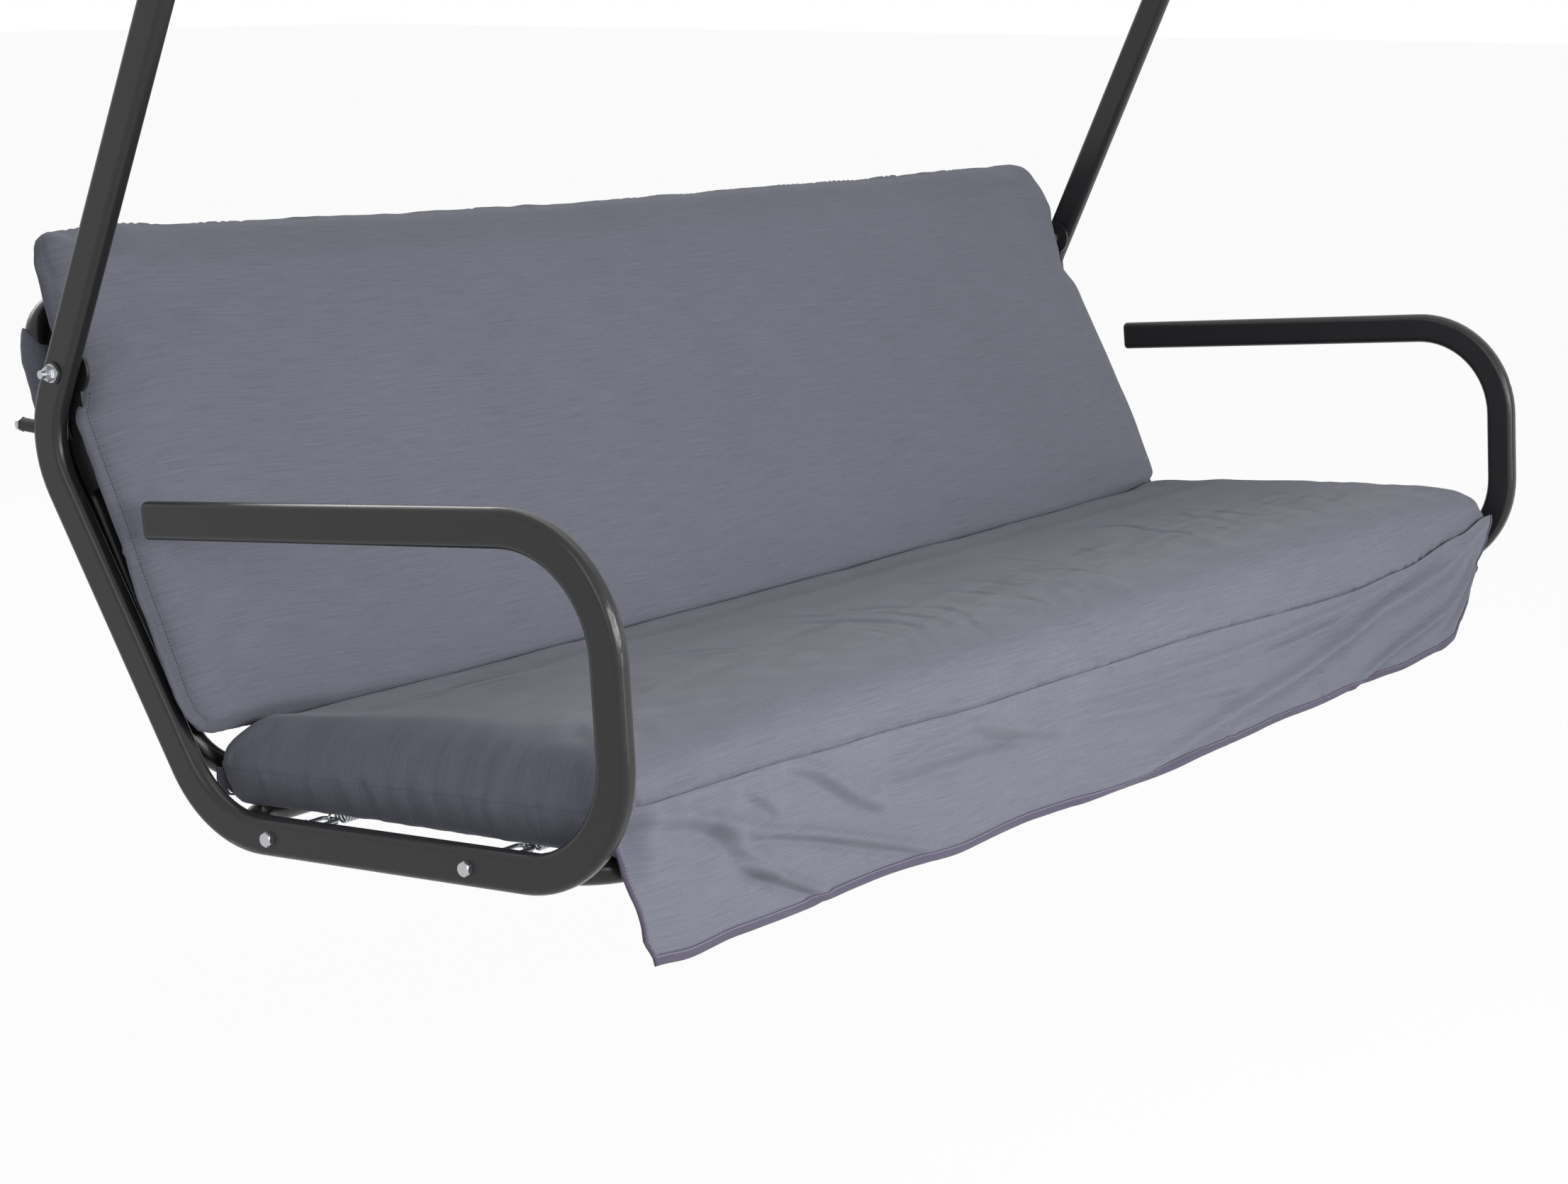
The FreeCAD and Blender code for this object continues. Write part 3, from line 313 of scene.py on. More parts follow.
# Colours and cloth
BLACK = (0.0125, 0.0118, 0.0130)
SLATE = (0.150, 0.155, 0.190)
MAUVE = (0.094, 0.085, 0.122)
YARN = 0.0009
# Half-width of the seat seam's groove, and of the painted shade that darkens it
SEAM_GROOVE = 0.0008
STITCH_PITCH = 0.0035
STITCH_WIDTH = 0.0007
STITCH_FILL = 0.62

# Rows of stitches: the distance from the seam, the thread's tone and where the row ends
BACK_STITCHES = ((BACK_STITCH, 0.30, 0.37),)
HOOD_STITCHES = ((0.010, 0.45, 4.0),)
TAPE_STITCHES = ((0.0020, 3.4, 4.0),)

# Floor, lamps and camera, in the part's frame. A lamp has its place, target, size and power
FLOOR_Z = -1.405
FLOOR_HALF = 40.0
FLOOR_WHITE = 0.95
WORLD_LIGHT = 0.24
LAMPS = {
    "front": ((-0.5, -1.9, -0.36), (0.1, -0.2, -1.0), (2.6, 0.25), 29.0),
    "strip": ((0.3, -4.0, 0.15), (0.0, 0.0, -0.8), (0.45, 3.0), 50.0),
    "top": ((0.8, 0.10, 2.2), (0.2, -0.1, -0.9), (3.2, 1.0), 14.0),
    "left": ((-4.2, -0.6, 0.6), (-0.6, 0.0, -0.8), (0.7, 2.4), 18.0),
    "rear": ((0.6, 3.4, 1.4), (0.0, 0.2, -0.8), (3.0, 1.0), 50.0),
}
CAMERA_PLACE = Vector((-2.7944, -1.6501, 0.6620))
CAMERA_TURN = math.radians(53.72)
CAMERA_PITCH = math.radians(12.3)
PHOTO_WIDTH = 2212.0
FOCAL_PIXELS = 4332.5
SENSOR = 36.0
CENTRE_RIGHT = 51.9
CENTRE_LOW = 49.6

PIVOT = Vector((
    0.0,
    RAIL_LENGTH + BACK_RUN - HANGER_LENGTH * math.sin(HANGER_LEAN),
    BACK_RISE + HANGER_LENGTH * math.cos(HANGER_LEAN),
))
SEAT_PLACE = Matrix.Rotation(-SEAT_TILT, 4, "X") @ Matrix.Translation(-PIVOT)
BACK_PLACE = SEAT_PLACE @ Matrix.Translation((0, RAIL_LENGTH, 0)) @ Matrix.Rotation(-BACKREST_LEAN, 4, "X")


# Shader maths

class Value:
    """A socket of a material's nodes, with sums and products as Math nodes."""

    def __init__(self, finish, socket):
        self.finish = finish
        self.socket = socket

    def math(self, operation, *others):
        """A Math node with this value first."""
        return self.finish.node("ShaderNodeMath", {"operation": operation}, [self, *others])

    def __add__(self, other):
        return self.math("ADD", other)

    def __radd__(self, other):
        return self.math("ADD", other)

    def __sub__(self, other):
        return self.math("SUBTRACT", other)

    def __rsub__(self, other):
        return self.finish.node("ShaderNodeMath", {"operation": "SUBTRACT"}, [other, self])

    def __mul__(self, other):
        return self.math("MULTIPLY", other)

    def __rmul__(self, other):
        return self.math("MULTIPLY", other)

    def __truediv__(self, other):
        return self.math("DIVIDE", other)

    def less(self, other):
        """1 where this value is less than the other."""
        return self.math("LESS_THAN", other)

    def more(self, other):
        """1 where this value is more than the other."""
        return self.math("GREATER_THAN", other)

    def size(self):
        """The value without its sign."""
        return self.math("ABSOLUTE")

    def fraction(self):
        """What is left over a whole number."""
        return self.math("FRACT")

    def wave(self):
        """The sine of the value."""
        return self.math("SINE")


class Finish:
    """The nodes of a material or of the world, made one at a time."""

    def __init__(self, owner):
        self.owner = owner
        owner.use_nodes = True
        self.tree = owner.node_tree
        self.tree.nodes.clear()

    def node(self, kind, settings=None, values=None, output=0):
        """Makes a node: its settings first, then its sockets' values or links."""
        made = self.tree.nodes.new(kind)
        for name, value in (settings or {}).items():
            setattr(made, name, value)
        pairs = enumerate(values) if isinstance(values, list) else (values or {}).items()
        for key, value in pairs:
            if isinstance(value, Value):
                self.tree.links.new(value.socket, made.inputs[key])
            else:
                made.inputs[key].default_value = value
        return Value(self, made.outputs[output]) if len(made.outputs) else None

    def place(self, scale=(1, 1, 1), uv=None):
        """The piece's own coordinates, stretched: its UV map, or Object coordinates."""
        if uv:
            source = self.node("ShaderNodeUVMap", {"uv_map": uv})
        else:
            source = self.node("ShaderNodeTexCoord", output=3)
        return self.node("ShaderNodeMapping", None, {"Vector": source, "Scale": scale})

    def split(self, vector):
        """The first two parts of a vector."""
        parts = self.node("ShaderNodeSeparateXYZ", None, [vector]).socket.node.outputs
        return Value(self, parts[0]), Value(self, parts[1])

    def noise(self, vector, scale, detail=2.0, roughness=0.5):
        """Soft noise from 0 to 1."""
        values = {"Vector": vector, "Scale": scale, "Detail": detail, "Roughness": roughness}
        return self.node("ShaderNodeTexNoise", None, values)

    def mix(self, share, first, second):
        """One colour faded into another."""
        values = {0: share, 6: first, 7: second}
        return self.node("ShaderNodeMix", {"data_type": "RGBA"}, values, output=2)

    def bump(self, height, distance, strength=1.0, normal=None):
        """A bump for the shader's normal."""
        values = {"Strength": strength, "Distance": distance, "Height": height}
        if normal is not None:
            values["Normal"] = normal
        return self.node("ShaderNodeBump", None, values)

    def shade(self, values):
        """The surface shader and the output."""
        shader = self.node("ShaderNodeBsdfPrincipled", None, values)
        self.node("ShaderNodeOutputMaterial", None, {"Surface": shader})
        return self.owner


def new_finish(name):
    """An empty material."""
    return Finish(bpy.data.materials.new(name))


def rgb(red, green, blue):
    """A colour with full alpha."""
    return (red, green, blue, 1.0)


def toned(colour, share, more=0.0):
    """A colour made lighter or darker."""
    return rgb(*[part * share + more for part in colour])


def coated_steel(name, colour, roughness):
    """Powder coat: a faint orange peel, dust in random lighter patches and slightly uneven gloss."""
    finish = new_finish(name)
    place = finish.place()
    peel = finish.noise(place, 700.0, 1.0)
    cloud = finish.noise(place, 7.0, 3.0)
    dust = finish.noise(place, 60.0, 4.0, 0.65)
    speck = finish.noise(place, 330.0, 2.0, 0.7).more(0.74)
    shade = finish.mix(cloud * 0.5 + dust * 0.25, rgb(*colour), toned(colour, 1.35, 0.002))
    shade = finish.mix(speck * 0.35, shade, toned(colour, 2.6, 0.01))
    gloss = cloud * 0.08 + dust * 0.06 + speck * 0.15 + (roughness - 0.07)
    return finish.shade({
        "Base Color": shade,
        "Roughness": gloss,
        "Specular IOR Level": 0.42,
        "Normal": finish.bump(peel, 0.0002, 0.22),
    })


def zinc(name, colour, roughness):
    """Bright zinc plate: crystalline blotches and fine tool marks."""
    finish = new_finish(name)
    place = finish.place()
    blotch = finish.noise(place, 420.0, 3.0, 0.6)
    scratch = finish.noise(finish.place((900.0, 900.0, 2500.0)), 1.0, 2.0)
    shade = finish.mix(blotch * 0.9, toned(colour, 0.62), rgb(*colour))
    return finish.shade({
        "Base Color": shade,
        "Metallic": 1.0,
        "Roughness": blotch * 0.18 + (roughness - 0.05),
        "Normal": finish.bump(scratch, 0.00008, 0.3),
    })


def moulded(name, colour, roughness):
    """Moulded plastic or rubber with a fine spark-eroded grain."""
    finish = new_finish(name)
    place = finish.place()
    grain = finish.noise(place, 1500.0, 2.0)
    cloud = finish.noise(place, 40.0, 2.0)
    return finish.shade({
        "Base Color": finish.mix(cloud * 0.6, rgb(*colour), toned(colour, 1.3, 0.003)),
        "Roughness": cloud * 0.08 + roughness,
        "Normal": finish.bump(grain, 0.0001, 0.35),
    })


def stitches(finish, row, end):
    """1 on a wavering row of stitches beside a seam, up to its end along the seam."""
    run, depth = finish.split(finish.place(uv="seam"))
    wobble = finish.noise(finish.place((12.0, 0.0, 1.0), "seam"), 1.0, 1.0) * 0.0016 - 0.0008
    near = (depth + wobble - row).size().less(STITCH_WIDTH)
    dash = (run / STITCH_PITCH).fraction().less(STITCH_FILL)
    return near * dash * run.less(end)


def woven(name, colour, seamed=False, rows=()):
    """Outdoor cloth: slubby yarns in a plain weave, with a seam groove and painted shade in it, and rows of
    stitches where asked.
    """
    finish = new_finish(name)
    flat = finish.place(uv="cloth")
    slub = finish.noise(finish.place((16.0, 640.0, 1.0), "cloth"), 1.0, 2.0, 0.6)
    fine_slub = finish.noise(finish.place((70.0, 1500.0, 1.0), "cloth"), 1.0, 2.0, 0.7)
    cross_slub = finish.noise(finish.place((1300.0, 60.0, 1.0), "cloth"), 1.0, 2.0, 0.6)
    cloud = finish.noise(flat, 5.0, 3.0)
    along, across = finish.split(flat)
    turn = 2 * math.pi / YARN
    weave = (along * turn).wave() * (across * turn).wave()
    mix = slub * 0.70 + fine_slub * 0.50 + cross_slub * 0.34 + cloud * 0.16 - 0.35
    shade = finish.mix(mix, toned(colour, 0.62), toned(colour, 1.42))
    height = weave * 0.35 + slub * 0.8 + fine_slub * 0.5
    normal = finish.bump(height, 0.00022, 0.55)
    if seamed:
        depth = finish.split(finish.place(uv="seam"))[1]
        groove_and_painted_shade = (depth.size() / SEAM_GROOVE).math("MINIMUM", 1.0)
        # painted shade: the cloth is darkened to 40% of its colour in the seam's groove, where shade falls
        shade = finish.mix((1.0 - groove_and_painted_shade) * 0.22, shade, toned(colour, 0.40))
        normal = finish.bump(groove_and_painted_shade, SEAM_GROOVE, 0.2, normal)
    for row, tone, end in rows:
        shade = finish.mix(stitches(finish, row, end) * 0.75, shade, toned(colour, tone))
    return finish.shade({
        "Base Color": shade,
        "Roughness": fine_slub * 0.10 + 0.84,
        "Specular IOR Level": 0.22,
        "Sheen Weight": 0.12,
        "Sheen Roughness": 0.45,
        "Normal": normal,
    })


FINISHES = {
    "black_frame": coated_steel("powder_coat", BLACK, 0.29),
    "zinc_plate": zinc("bright_zinc", (0.60, 0.615, 0.64), 0.34),
    "spring_steel": zinc("spring_zinc", (0.52, 0.54, 0.57), 0.34),
    "black_plastic": moulded("black_plastic", (0.014, 0.014, 0.015), 0.40),
    "rubber": moulded("black_rubber", (0.013, 0.013, 0.014), 0.62),
}


def dress_frame():
    """Gives every carried-over node its finish."""
    slots = {part["node"]: part["material_slot"] for part in frame["record"]["subparts"]}
    for name, piece in frame["nodes"].items():
        finish = FINISHES.get(slots[name])
        if finish is None:
            continue
        for index in range(len(piece.material_slots)):
            piece.material_slots[index].material = finish
        if not piece.material_slots:
            piece.data.materials.append(finish)


def make_camera():
    """The camera at the photograph's place."""
    data = bpy.data.cameras.new("view")
    camera = bpy.data.objects.new("view", data)
    bpy.context.collection.objects.link(camera)
    camera.location = SEAT_PLACE @ CAMERA_PLACE
    camera.rotation_euler = (math.pi / 2 - CAMERA_PITCH, 0.0, -CAMERA_TURN)
    data.sensor_fit = "HORIZONTAL"
    data.sensor_width = SENSOR
    data.lens = SENSOR * FOCAL_PIXELS / PHOTO_WIDTH
    data.shift_x = -CENTRE_RIGHT / PHOTO_WIDTH
    data.shift_y = CENTRE_LOW / PHOTO_WIDTH
    data.clip_end = 60.0
    bpy.context.scene.camera = camera


def make_lamp(name, place, target, size, power):
    """A soft box that faces a target."""
    data = bpy.data.lights.new(name, "AREA")
    data.shape = "RECTANGLE"
    data.size = size[0]
    data.size_y = size[1]
    data.energy = power
    lamp = bpy.data.objects.new(name, data)
    bpy.context.collection.objects.link(lamp)
    lamp.visible_camera = False
    lamp.location = place
    lamp.rotation_euler = (Vector(target) - Vector(place)).to_track_quat("-Z", "Y").to_euler()


def seen_as_backdrop(finish):
    """1 for rays from the camera, from gloss and through glass."""
    path = finish.node("ShaderNodeLightPath")
    outputs = path.socket.node.outputs
    seen = Value(finish, outputs["Is Camera Ray"])
    seen = seen.math("MAXIMUM", Value(finish, outputs["Is Glossy Ray"]))
    return seen.math("MAXIMUM", Value(finish, outputs["Is Transmission Ray"]))


def make_world():
    """Even studio light, which shows as plain white."""
    world = bpy.data.worlds.new("studio")
    bpy.context.scene.world = world
    finish = Finish(world)
    pale = rgb(0.95, 0.96, 1.0)
    light = finish.node("ShaderNodeBackground", None, {"Color": pale, "Strength": WORLD_LIGHT})
    white = finish.node("ShaderNodeBackground", None, {"Color": rgb(1, 1, 1), "Strength": 1.0})
    both = finish.node("ShaderNodeMixShader", None, [seen_as_backdrop(finish), light, white])
    finish.node("ShaderNodeOutputWorld", None, {"Surface": both})


def make_floor():
    """Pale floor that keeps the object's shadow."""
    shell = bmesh.new()
    bmesh.ops.create_grid(shell, x_segments=1, y_segments=1, size=FLOOR_HALF)
    floor = new_piece("floor", shell, Matrix.Translation((0, 0, FLOOR_Z)))
    finish = new_finish("pale_floor")
    grain = finish.noise(finish.place(), 30.0, 3.0)
    pale = finish.mix(grain, rgb(0.87, 0.87, 0.875), rgb(0.90, 0.90, 0.905))
    diffuse = finish.node("ShaderNodeBsdfDiffuse", None, {"Color": pale})
    glow = finish.node("ShaderNodeEmission", None, {"Color": rgb(1, 1, 1), "Strength": 1.0})
    share = seen_as_backdrop(finish) * FLOOR_WHITE
    both = finish.node("ShaderNodeMixShader", None, [share, diffuse, glow])
    finish.node("ShaderNodeOutputMaterial", None, {"Surface": both})
    floor.data.materials.append(finish.owner)


def make_room():
    """World, floor and soft boxes."""
    make_world()
    make_floor()
    for name, (place, target, size, power) in LAMPS.items():
        make_lamp(name, place, target, size, power)


def new_piece(name, shell, place=None, finish=None):
    """Makes an object at the origin from a bmesh, its place in its mesh."""
    if place is not None:
        bmesh.ops.transform(shell, matrix=place, verts=shell.verts)
    mesh = bpy.data.meshes.new(name)
    shell.to_mesh(mesh)
    shell.free()
    for face in mesh.polygons:
        face.use_smooth = True
    if finish is not None:
        mesh.materials.append(finish)
    piece = bpy.data.objects.new(name, mesh)
    bpy.context.collection.objects.link(piece)
    return piece


# Soft parts

def eased(share):
    """A smooth step from 0 to 1."""
    share = min(max(share, 0.0), 1.0)
    return share * share * (3 - 2 * share)


def over(zone, place):
    """A smooth step from 0 to 1 over a zone."""
    start, width = zone
    return eased((place - start) / width)


def along_line(points, place):
    """Height of a smooth line through the points at one place along it."""
    if place <= points[0][0]:
        return points[0][1]
    for (near, low), (far, high) in zip(points, points[1:]):
        if place <= far:
            return low + (high - low) * eased((place - near) / (far - near))
    return points[-1][1]


def nearest(line, x, y):
    """How far a place is from a line, on which side of it, and at which share of it."""
    best = None
    pieces = len(line) - 1
    for index in range(pieces):
        start_x, start_y = line[index]
        run_x = line[index + 1][0] - start_x
        run_y = line[index + 1][1] - start_y
        length = math.hypot(run_x, run_y)
        share = ((x - start_x) * run_x + (y - start_y) * run_y) / (length * length)
        share = min(max(share, 0.0), 1.0)
        away_x = x - start_x - share * run_x
        away_y = y - start_y - share * run_y
        away = math.hypot(away_x, away_y)
        if best is None or away < best[0]:
            side = 1.0 if run_x * away_y - run_y * away_x > 0 else -1.0
            best = (away, side, (index + share) / pieces)
    return best


def crease_depth(creases, x, y, tail=1.0):
    """Sum of the creases at a place: each is a hollow along its line, with a ridge beside it."""
    total = 0.0
    for line, width, height in creases:
        away, side, share = nearest(line, x, y)
        if away > CREASE_REACH * width:
            continue
        reach = side * away / width
        fade = math.sqrt(max(4 * share * (1 - share) ** tail, 0.0))
        ridge = CREASE_RIDGE * math.exp(-(reach - CREASE_RIDGE_PLACE) ** 2)
        total += height * fade * (ridge - math.exp(-reach * reach))
    return total


def grid_shell(columns, rows, held=False):
    """A flat grid, with the column and row of each of its points."""
    shell = bmesh.new()
    bmesh.ops.create_grid(shell, x_segments=columns, y_segments=rows, size=1.0)
    if held:
        shell.verts.layers.deform.verify()
    places = {}
    for point in shell.verts:
        column = round((point.co.x + 1) / 2 * columns)
        row = round((point.co.y + 1) / 2 * rows)
        places[point] = (column, row)
    return shell, places


def edge_lines(length):
    """Grid lines across a cushion, close together on its rolled edges: place and distance along the cloth."""
    lines = []
    for index in range(ROLL_STEPS + 1):
        turn = math.pi / 2 * index / ROLL_STEPS
        lines.append((PAD_ROLL * (1 - math.cos(turn)), PAD_ROLL * turn))
    flat = length - 2 * PAD_ROLL
    count = round(flat / PAD_SPACING)
    for index in range(1, count):
        run = flat * index / count
        lines.append((PAD_ROLL + run, PAD_ROLL * math.pi / 2 + run))
    whole = PAD_ROLL * math.pi + flat
    for place, travelled in reversed(lines[:ROLL_STEPS + 1]):
        lines.append((length - place, whole - travelled))
    return lines


def rolled(distance, roll):
    """Share of the full height at a distance in from a rolled edge."""
    inward = min(distance / roll, 1.0)
    return math.sqrt(1 - (1 - inward) ** 2)


def both(first, second):
    """The smaller of two shares from 0 to 1, eased where they are close."""
    if first <= 0 or second <= 0:
        return 0.0
    power = CORNER_FULL
    return first * second / (first ** power + second ** power - (first * second) ** power) ** (1 / power)


def rounded_corner(across, along, corner):
    """Moves a place near a corner on to a rounded outline. Both are distances in from the sides."""
    if across >= corner or along >= corner:
        return across, along
    near = 1 - across / corner
    low = 1 - along / corner
    turned = near * math.sqrt(1 - low * low / 2)
    lifted = low * math.sqrt(1 - near * near / 2)
    return corner * (1 - turned), corner * (1 - lifted)


def panel_shell(pad, columns, rows, panel):
    """One panel of a cushion, with its cloth's own coordinates and the weights that hold its seam."""
    part, places = grid_shell(len(columns) - 1, len(rows) - 1, held=True)
    cloth = part.loops.layers.uv.new("cloth")
    seam = part.loops.layers.uv.new("seam")
    hold = part.verts.layers.deform.active
    for face in part.faces:
        middle = face.calc_center_median()
        sideways = (1 - abs(middle.x)) * len(columns) < (1 - abs(middle.y)) * len(rows)
        for loop in face.loops:
            column, row = places[loop.vert]
            across = columns[column][1]
            along = rows[row][1]
            loop[cloth].uv = (across, along + (0.0 if panel > 0 else LOWER_PANEL))
            in_side = min(across, columns[-1][1] - across)
            in_end = min(along, rows[-1][1] - along)
            loop[seam].uv = (along, in_side) if sideways else (across, in_end + pad["end_shift"])
    for point, (column, row) in places.items():
        in_side = min(column, len(columns) - 1 - column)
        in_end = min(row, len(rows) - 1 - row)
        inward = min(columns[in_side][1], rows[in_end][1])
        point[hold][0] = 1.0 if inward == 0 else 0.0
        point[hold][1] = math.exp(-inward / SLACK_REACH)
        point.co = pad_point(pad, columns[column][0], rows[row][0], panel)
    if panel < 0:
        bmesh.ops.reverse_faces(part, faces=part.faces)
    return part


def pad_shell(pad):
    """Closed shell of a cushion: two panels sewn together along its seam."""
    columns = edge_lines(pad["width"])
    rows = edge_lines(pad["depth"])
    shell = bmesh.new()
    for panel in (1, -1):
        part = panel_shell(pad, columns, rows, panel)
        mesh = bpy.data.meshes.new("panel")
        part.to_mesh(mesh)
        part.free()
        shell.from_mesh(mesh)
        bpy.data.meshes.remove(mesh)
    bmesh.ops.remove_doubles(shell, verts=shell.verts, dist=SEWN_GAP)
    return shell


def pad_point(pad, x, y, panel):
    """One point of a cushion that lies flat, by its place on the pattern from its left front corner."""
    width = pad["width"]
    depth = pad["depth"]
    in_x = min(x, width - x)
    in_y = min(y, depth - y)
    turned_x, turned_y = rounded_corner(in_x, in_y, pad["corner"])
    flat_x = turned_x if x * 2 < width else width - turned_x
    flat_y = turned_y if y * 2 < depth else depth - turned_y
    left = along_line(pad["left"], flat_y)
    right = along_line(pad["right"], flat_y)
    place_x = left + (right - left) * flat_x / width
    near = along_line(pad["near"], place_x)
    far = along_line(pad["far"], place_x)
    place_y = near + (far - near) * flat_y / depth
    near_roll, far_roll, side_roll = pad["rolls"] if panel > 0 else pad["low_rolls"]
    at_end = over(END_ZONE, abs(2 * x / width - 1))
    far_roll *= pad["far_pressed"] + (1 - pad["far_pressed"]) * at_end
    share = both(rolled(in_x, side_roll), rolled(y, near_roll) * rolled(depth - y, far_roll))
    crown = pad["crown"] * (1 - (2 * x / width - 1) ** 4)
    dented = pad["dent"] * over(DENT_ZONE, y / depth) * (1 - at_end)
    full = along_line(pad["top"], y) + crown - dented if panel > 0 else pad["low"]
    seam = pad["seam"] + pad["sag"](place_x, y)
    return Vector((place_x, place_y, seam + (full - seam) * share))


def fill_out(piece):
    """Lets the stuffing press the cloth out and wrinkle its seam, and holds each point near its place."""
    before = [point.co.copy() for point in piece.data.vertices]
    for name in ("seam", "slack"):
        piece.vertex_groups.new(name=name)
    cloth = piece.modifiers.new("cloth", "CLOTH")
    for name, value in STUFFED_CLOTH.items():
        setattr(cloth.settings, name, value)
    cloth.settings.effector_weights.gravity = 0.0
    cloth.collision_settings.use_collision = False
    cloth.point_cache.frame_start = 1
    cloth.point_cache.frame_end = STUFFING_STEPS
    for step in range(1, STUFFING_STEPS + 1):
        bpy.context.scene.frame_set(step)
    bake(piece)
    bpy.context.scene.frame_set(1)
    for point, start in zip(piece.data.vertices, before):
        move = point.co - start
        if move.length > STUFFING_REACH:
            point.co = start + move.normalized() * STUFFING_REACH


def soften(shell):
    """Lets sharp places of a shell even out."""
    bmesh.ops.smooth_vert(
        shell, verts=shell.verts, factor=0.5, use_axis_x=True, use_axis_y=True, use_axis_z=True,
    )


def displace(shell, height_at):
    """Moves each point along its normal, by its place on the cloth."""
    cloth = shell.loops.layers.uv["cloth"]
    seam = shell.loops.layers.uv["seam"]
    shell.normal_update()
    moves = []
    for point in shell.verts:
        loop = point.link_loops[0]
        depth = min(each[seam].uv.y for each in point.link_loops)
        moves.append((point, point.normal * height_at(loop[cloth].uv, loop[seam].uv.x, depth)))
    for point, move in moves:
        point.co += move


def puckers(run, depth, seed, reach, height, pitch):
    """Small gathers beside a seam."""
    place = run / pitch
    coarse = noise.noise(Vector((place, seed, 0.0)))
    fine = noise.noise(Vector((place * FINE_PITCH, seed, 7.0)))
    return height * (coarse + FINE_SHARE * fine) * math.exp(-depth / reach)


def waves(u, v, *layers):
    """Slow ups and downs of stuffed cloth, summed from layers."""
    total = 0.0
    for height, size, seed in layers:
        total += height * noise.noise(Vector((u / size, v / size, seed)))
    return total


def seam_sag(x, y):
    """How far the front seam of the seat cushion hangs below its middle height."""
    return -along_line(SEAM_SAG, x) * (1 - eased(y / SAG_DEPTH))


def seat_creases(x, y):
    """Creases of the seat cushion's top, bent and broken up a little, and rumples near its front."""
    bent_x = x + waves(x, y, CREASE_BEND_X)
    bent_y = y + waves(x, y, CREASE_BEND_Y)
    uneven = CREASE_LEAST + waves(x, y, CREASE_UNEVEN)
    creases = uneven * crease_depth(SEAT_CREASES, bent_x, bent_y, SEAT_CREASE_TAIL)
    across = x * RUMPLE_ACROSS[0] + y * RUMPLE_ACROSS[1]
    along = x * RUMPLE_ALONG[0] + y * RUMPLE_ALONG[1]
    return creases + waves(across, along, SEAT_RUMPLES) * over(RUMPLE_ZONE, -y)


def seam_forward(x, y, depth):
    """How far the front seam of the seat cushion is pushed out, except at its ends."""
    at_front = 1 - over(SEAM_FRONT_ZONE, y)
    off_ends = 1 - over(SEAM_END_ZONE, abs(x))
    return SEAM_FORWARD * math.exp(-depth / SEAM_FORWARD_REACH) * at_front * off_ends


def seat_lift(uv, run, depth):
    """Creases, puckers and soft waves of the seat cushion."""
    spare = (math.pi / 2 - 1) * PAD_ROLL
    x = uv.x - SEAT_HALF - spare
    top = uv.y < LOWER_PANEL
    y = uv.y + SEAT_FRONT - (spare if top else spare + LOWER_PANEL)
    total = puckers(run, depth, *(SEAT_PUCKERS if top else SEAT_LOW_PUCKERS))
    total += waves(x, y, *SEAT_WAVES)
    if top:
        total += seat_creases(x, y) + seam_forward(x, y, depth)
    return total - SEAM_PINCH * math.exp(-depth / SEAM_PINCH_REACH)


def back_lift(uv, run, depth):
    """Puckers and soft waves of the back cushion."""
    front = uv.y < LOWER_PANEL
    total = puckers(run, depth % END_SHIFT, *(BACK_PUCKERS if front else BACK_REAR_PUCKERS))
    total += waves(uv.x, uv.y, *BACK_WAVES)
    if front:
        total -= BACK_STITCH_DEEP * math.exp(-((depth - BACK_STITCH) / BACK_STITCH_WIDE) ** 2)
    return total


def make_cushion(name, pad, place, lift, finish):
    """One cushion: its sewn shell, pressed out by its stuffing, its creases and its cloth."""
    shell = pad_shell(pad)
    soften(shell)
    piece = new_piece(name, shell)
    fill_out(piece)
    finer = piece.modifiers.new("finer", "SUBSURF")
    finer.levels = 1
    finer.render_levels = 1
    bake(piece)
    piece.vertex_groups.clear()
    shell = bmesh.new()
    shell.from_mesh(piece.data)
    displace(shell, lift)
    bmesh.ops.transform(shell, matrix=place, verts=shell.verts)
    shell.to_mesh(piece.data)
    shell.free()
    piece.data.materials.append(finish)
    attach(piece, "seat")
    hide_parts(name.replace("_padding", ""))


def bake(piece):
    """Applies a piece's modifiers."""
    seen = bpy.context.evaluated_depsgraph_get()
    shaped = piece.evaluated_get(seen)
    mesh = bpy.data.meshes.new_from_object(shaped, preserve_all_data_layers=True, depsgraph=seen)
    piece.modifiers.clear()
    old = piece.data
    piece.data = mesh
    bpy.data.meshes.remove(old)
    for face in mesh.polygons:
        face.use_smooth = True


# Sheets of cloth

def cloth_shell(columns, rows, size, point_at, downward=False, seam_far=False):
    """A sheet as a grid. Its shares along and across give its coordinates on the cloth and its points."""
    shell, places = grid_shell(columns, rows)
    cloth = shell.loops.layers.uv.new("cloth")
    seam = shell.loops.layers.uv.new("seam")
    shares = {}
    for point, (column, row) in places.items():
        shares[point] = (column / columns, (rows - row if downward else row) / rows)
        point.co = point_at(*shares[point])
    for face in shell.faces:
        for loop in face.loops:
            along, across = shares[loop.vert]
            flat = (along * size[0], across * size[1])
            loop[cloth].uv = flat
            loop[seam].uv = (flat[0], size[1] - flat[1]) if seam_far else flat
    return shell


def finish_cloth(name, shell, finish, thickness):
    """Makes a sheet from its shell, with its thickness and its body."""
    piece = new_piece(name, shell, finish=finish)
    thick = piece.modifiers.new("thickness", "SOLIDIFY")
    thick.thickness = thickness
    thick.offset = 0.0
    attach(piece, "seat")
    return piece


# Skirt

def skirt_frame(x, down, out):
    """A point of the skirt, by its place along the seam, how far it hangs down and how far it stands out."""
    return SEAT_PLACE @ Vector((
        x,
        SKIRT_SEAM_Y - out + down * math.sin(SEAT_TILT),
        SKIRT_SEAM_Z - down * math.cos(SEAT_TILT),
    ))


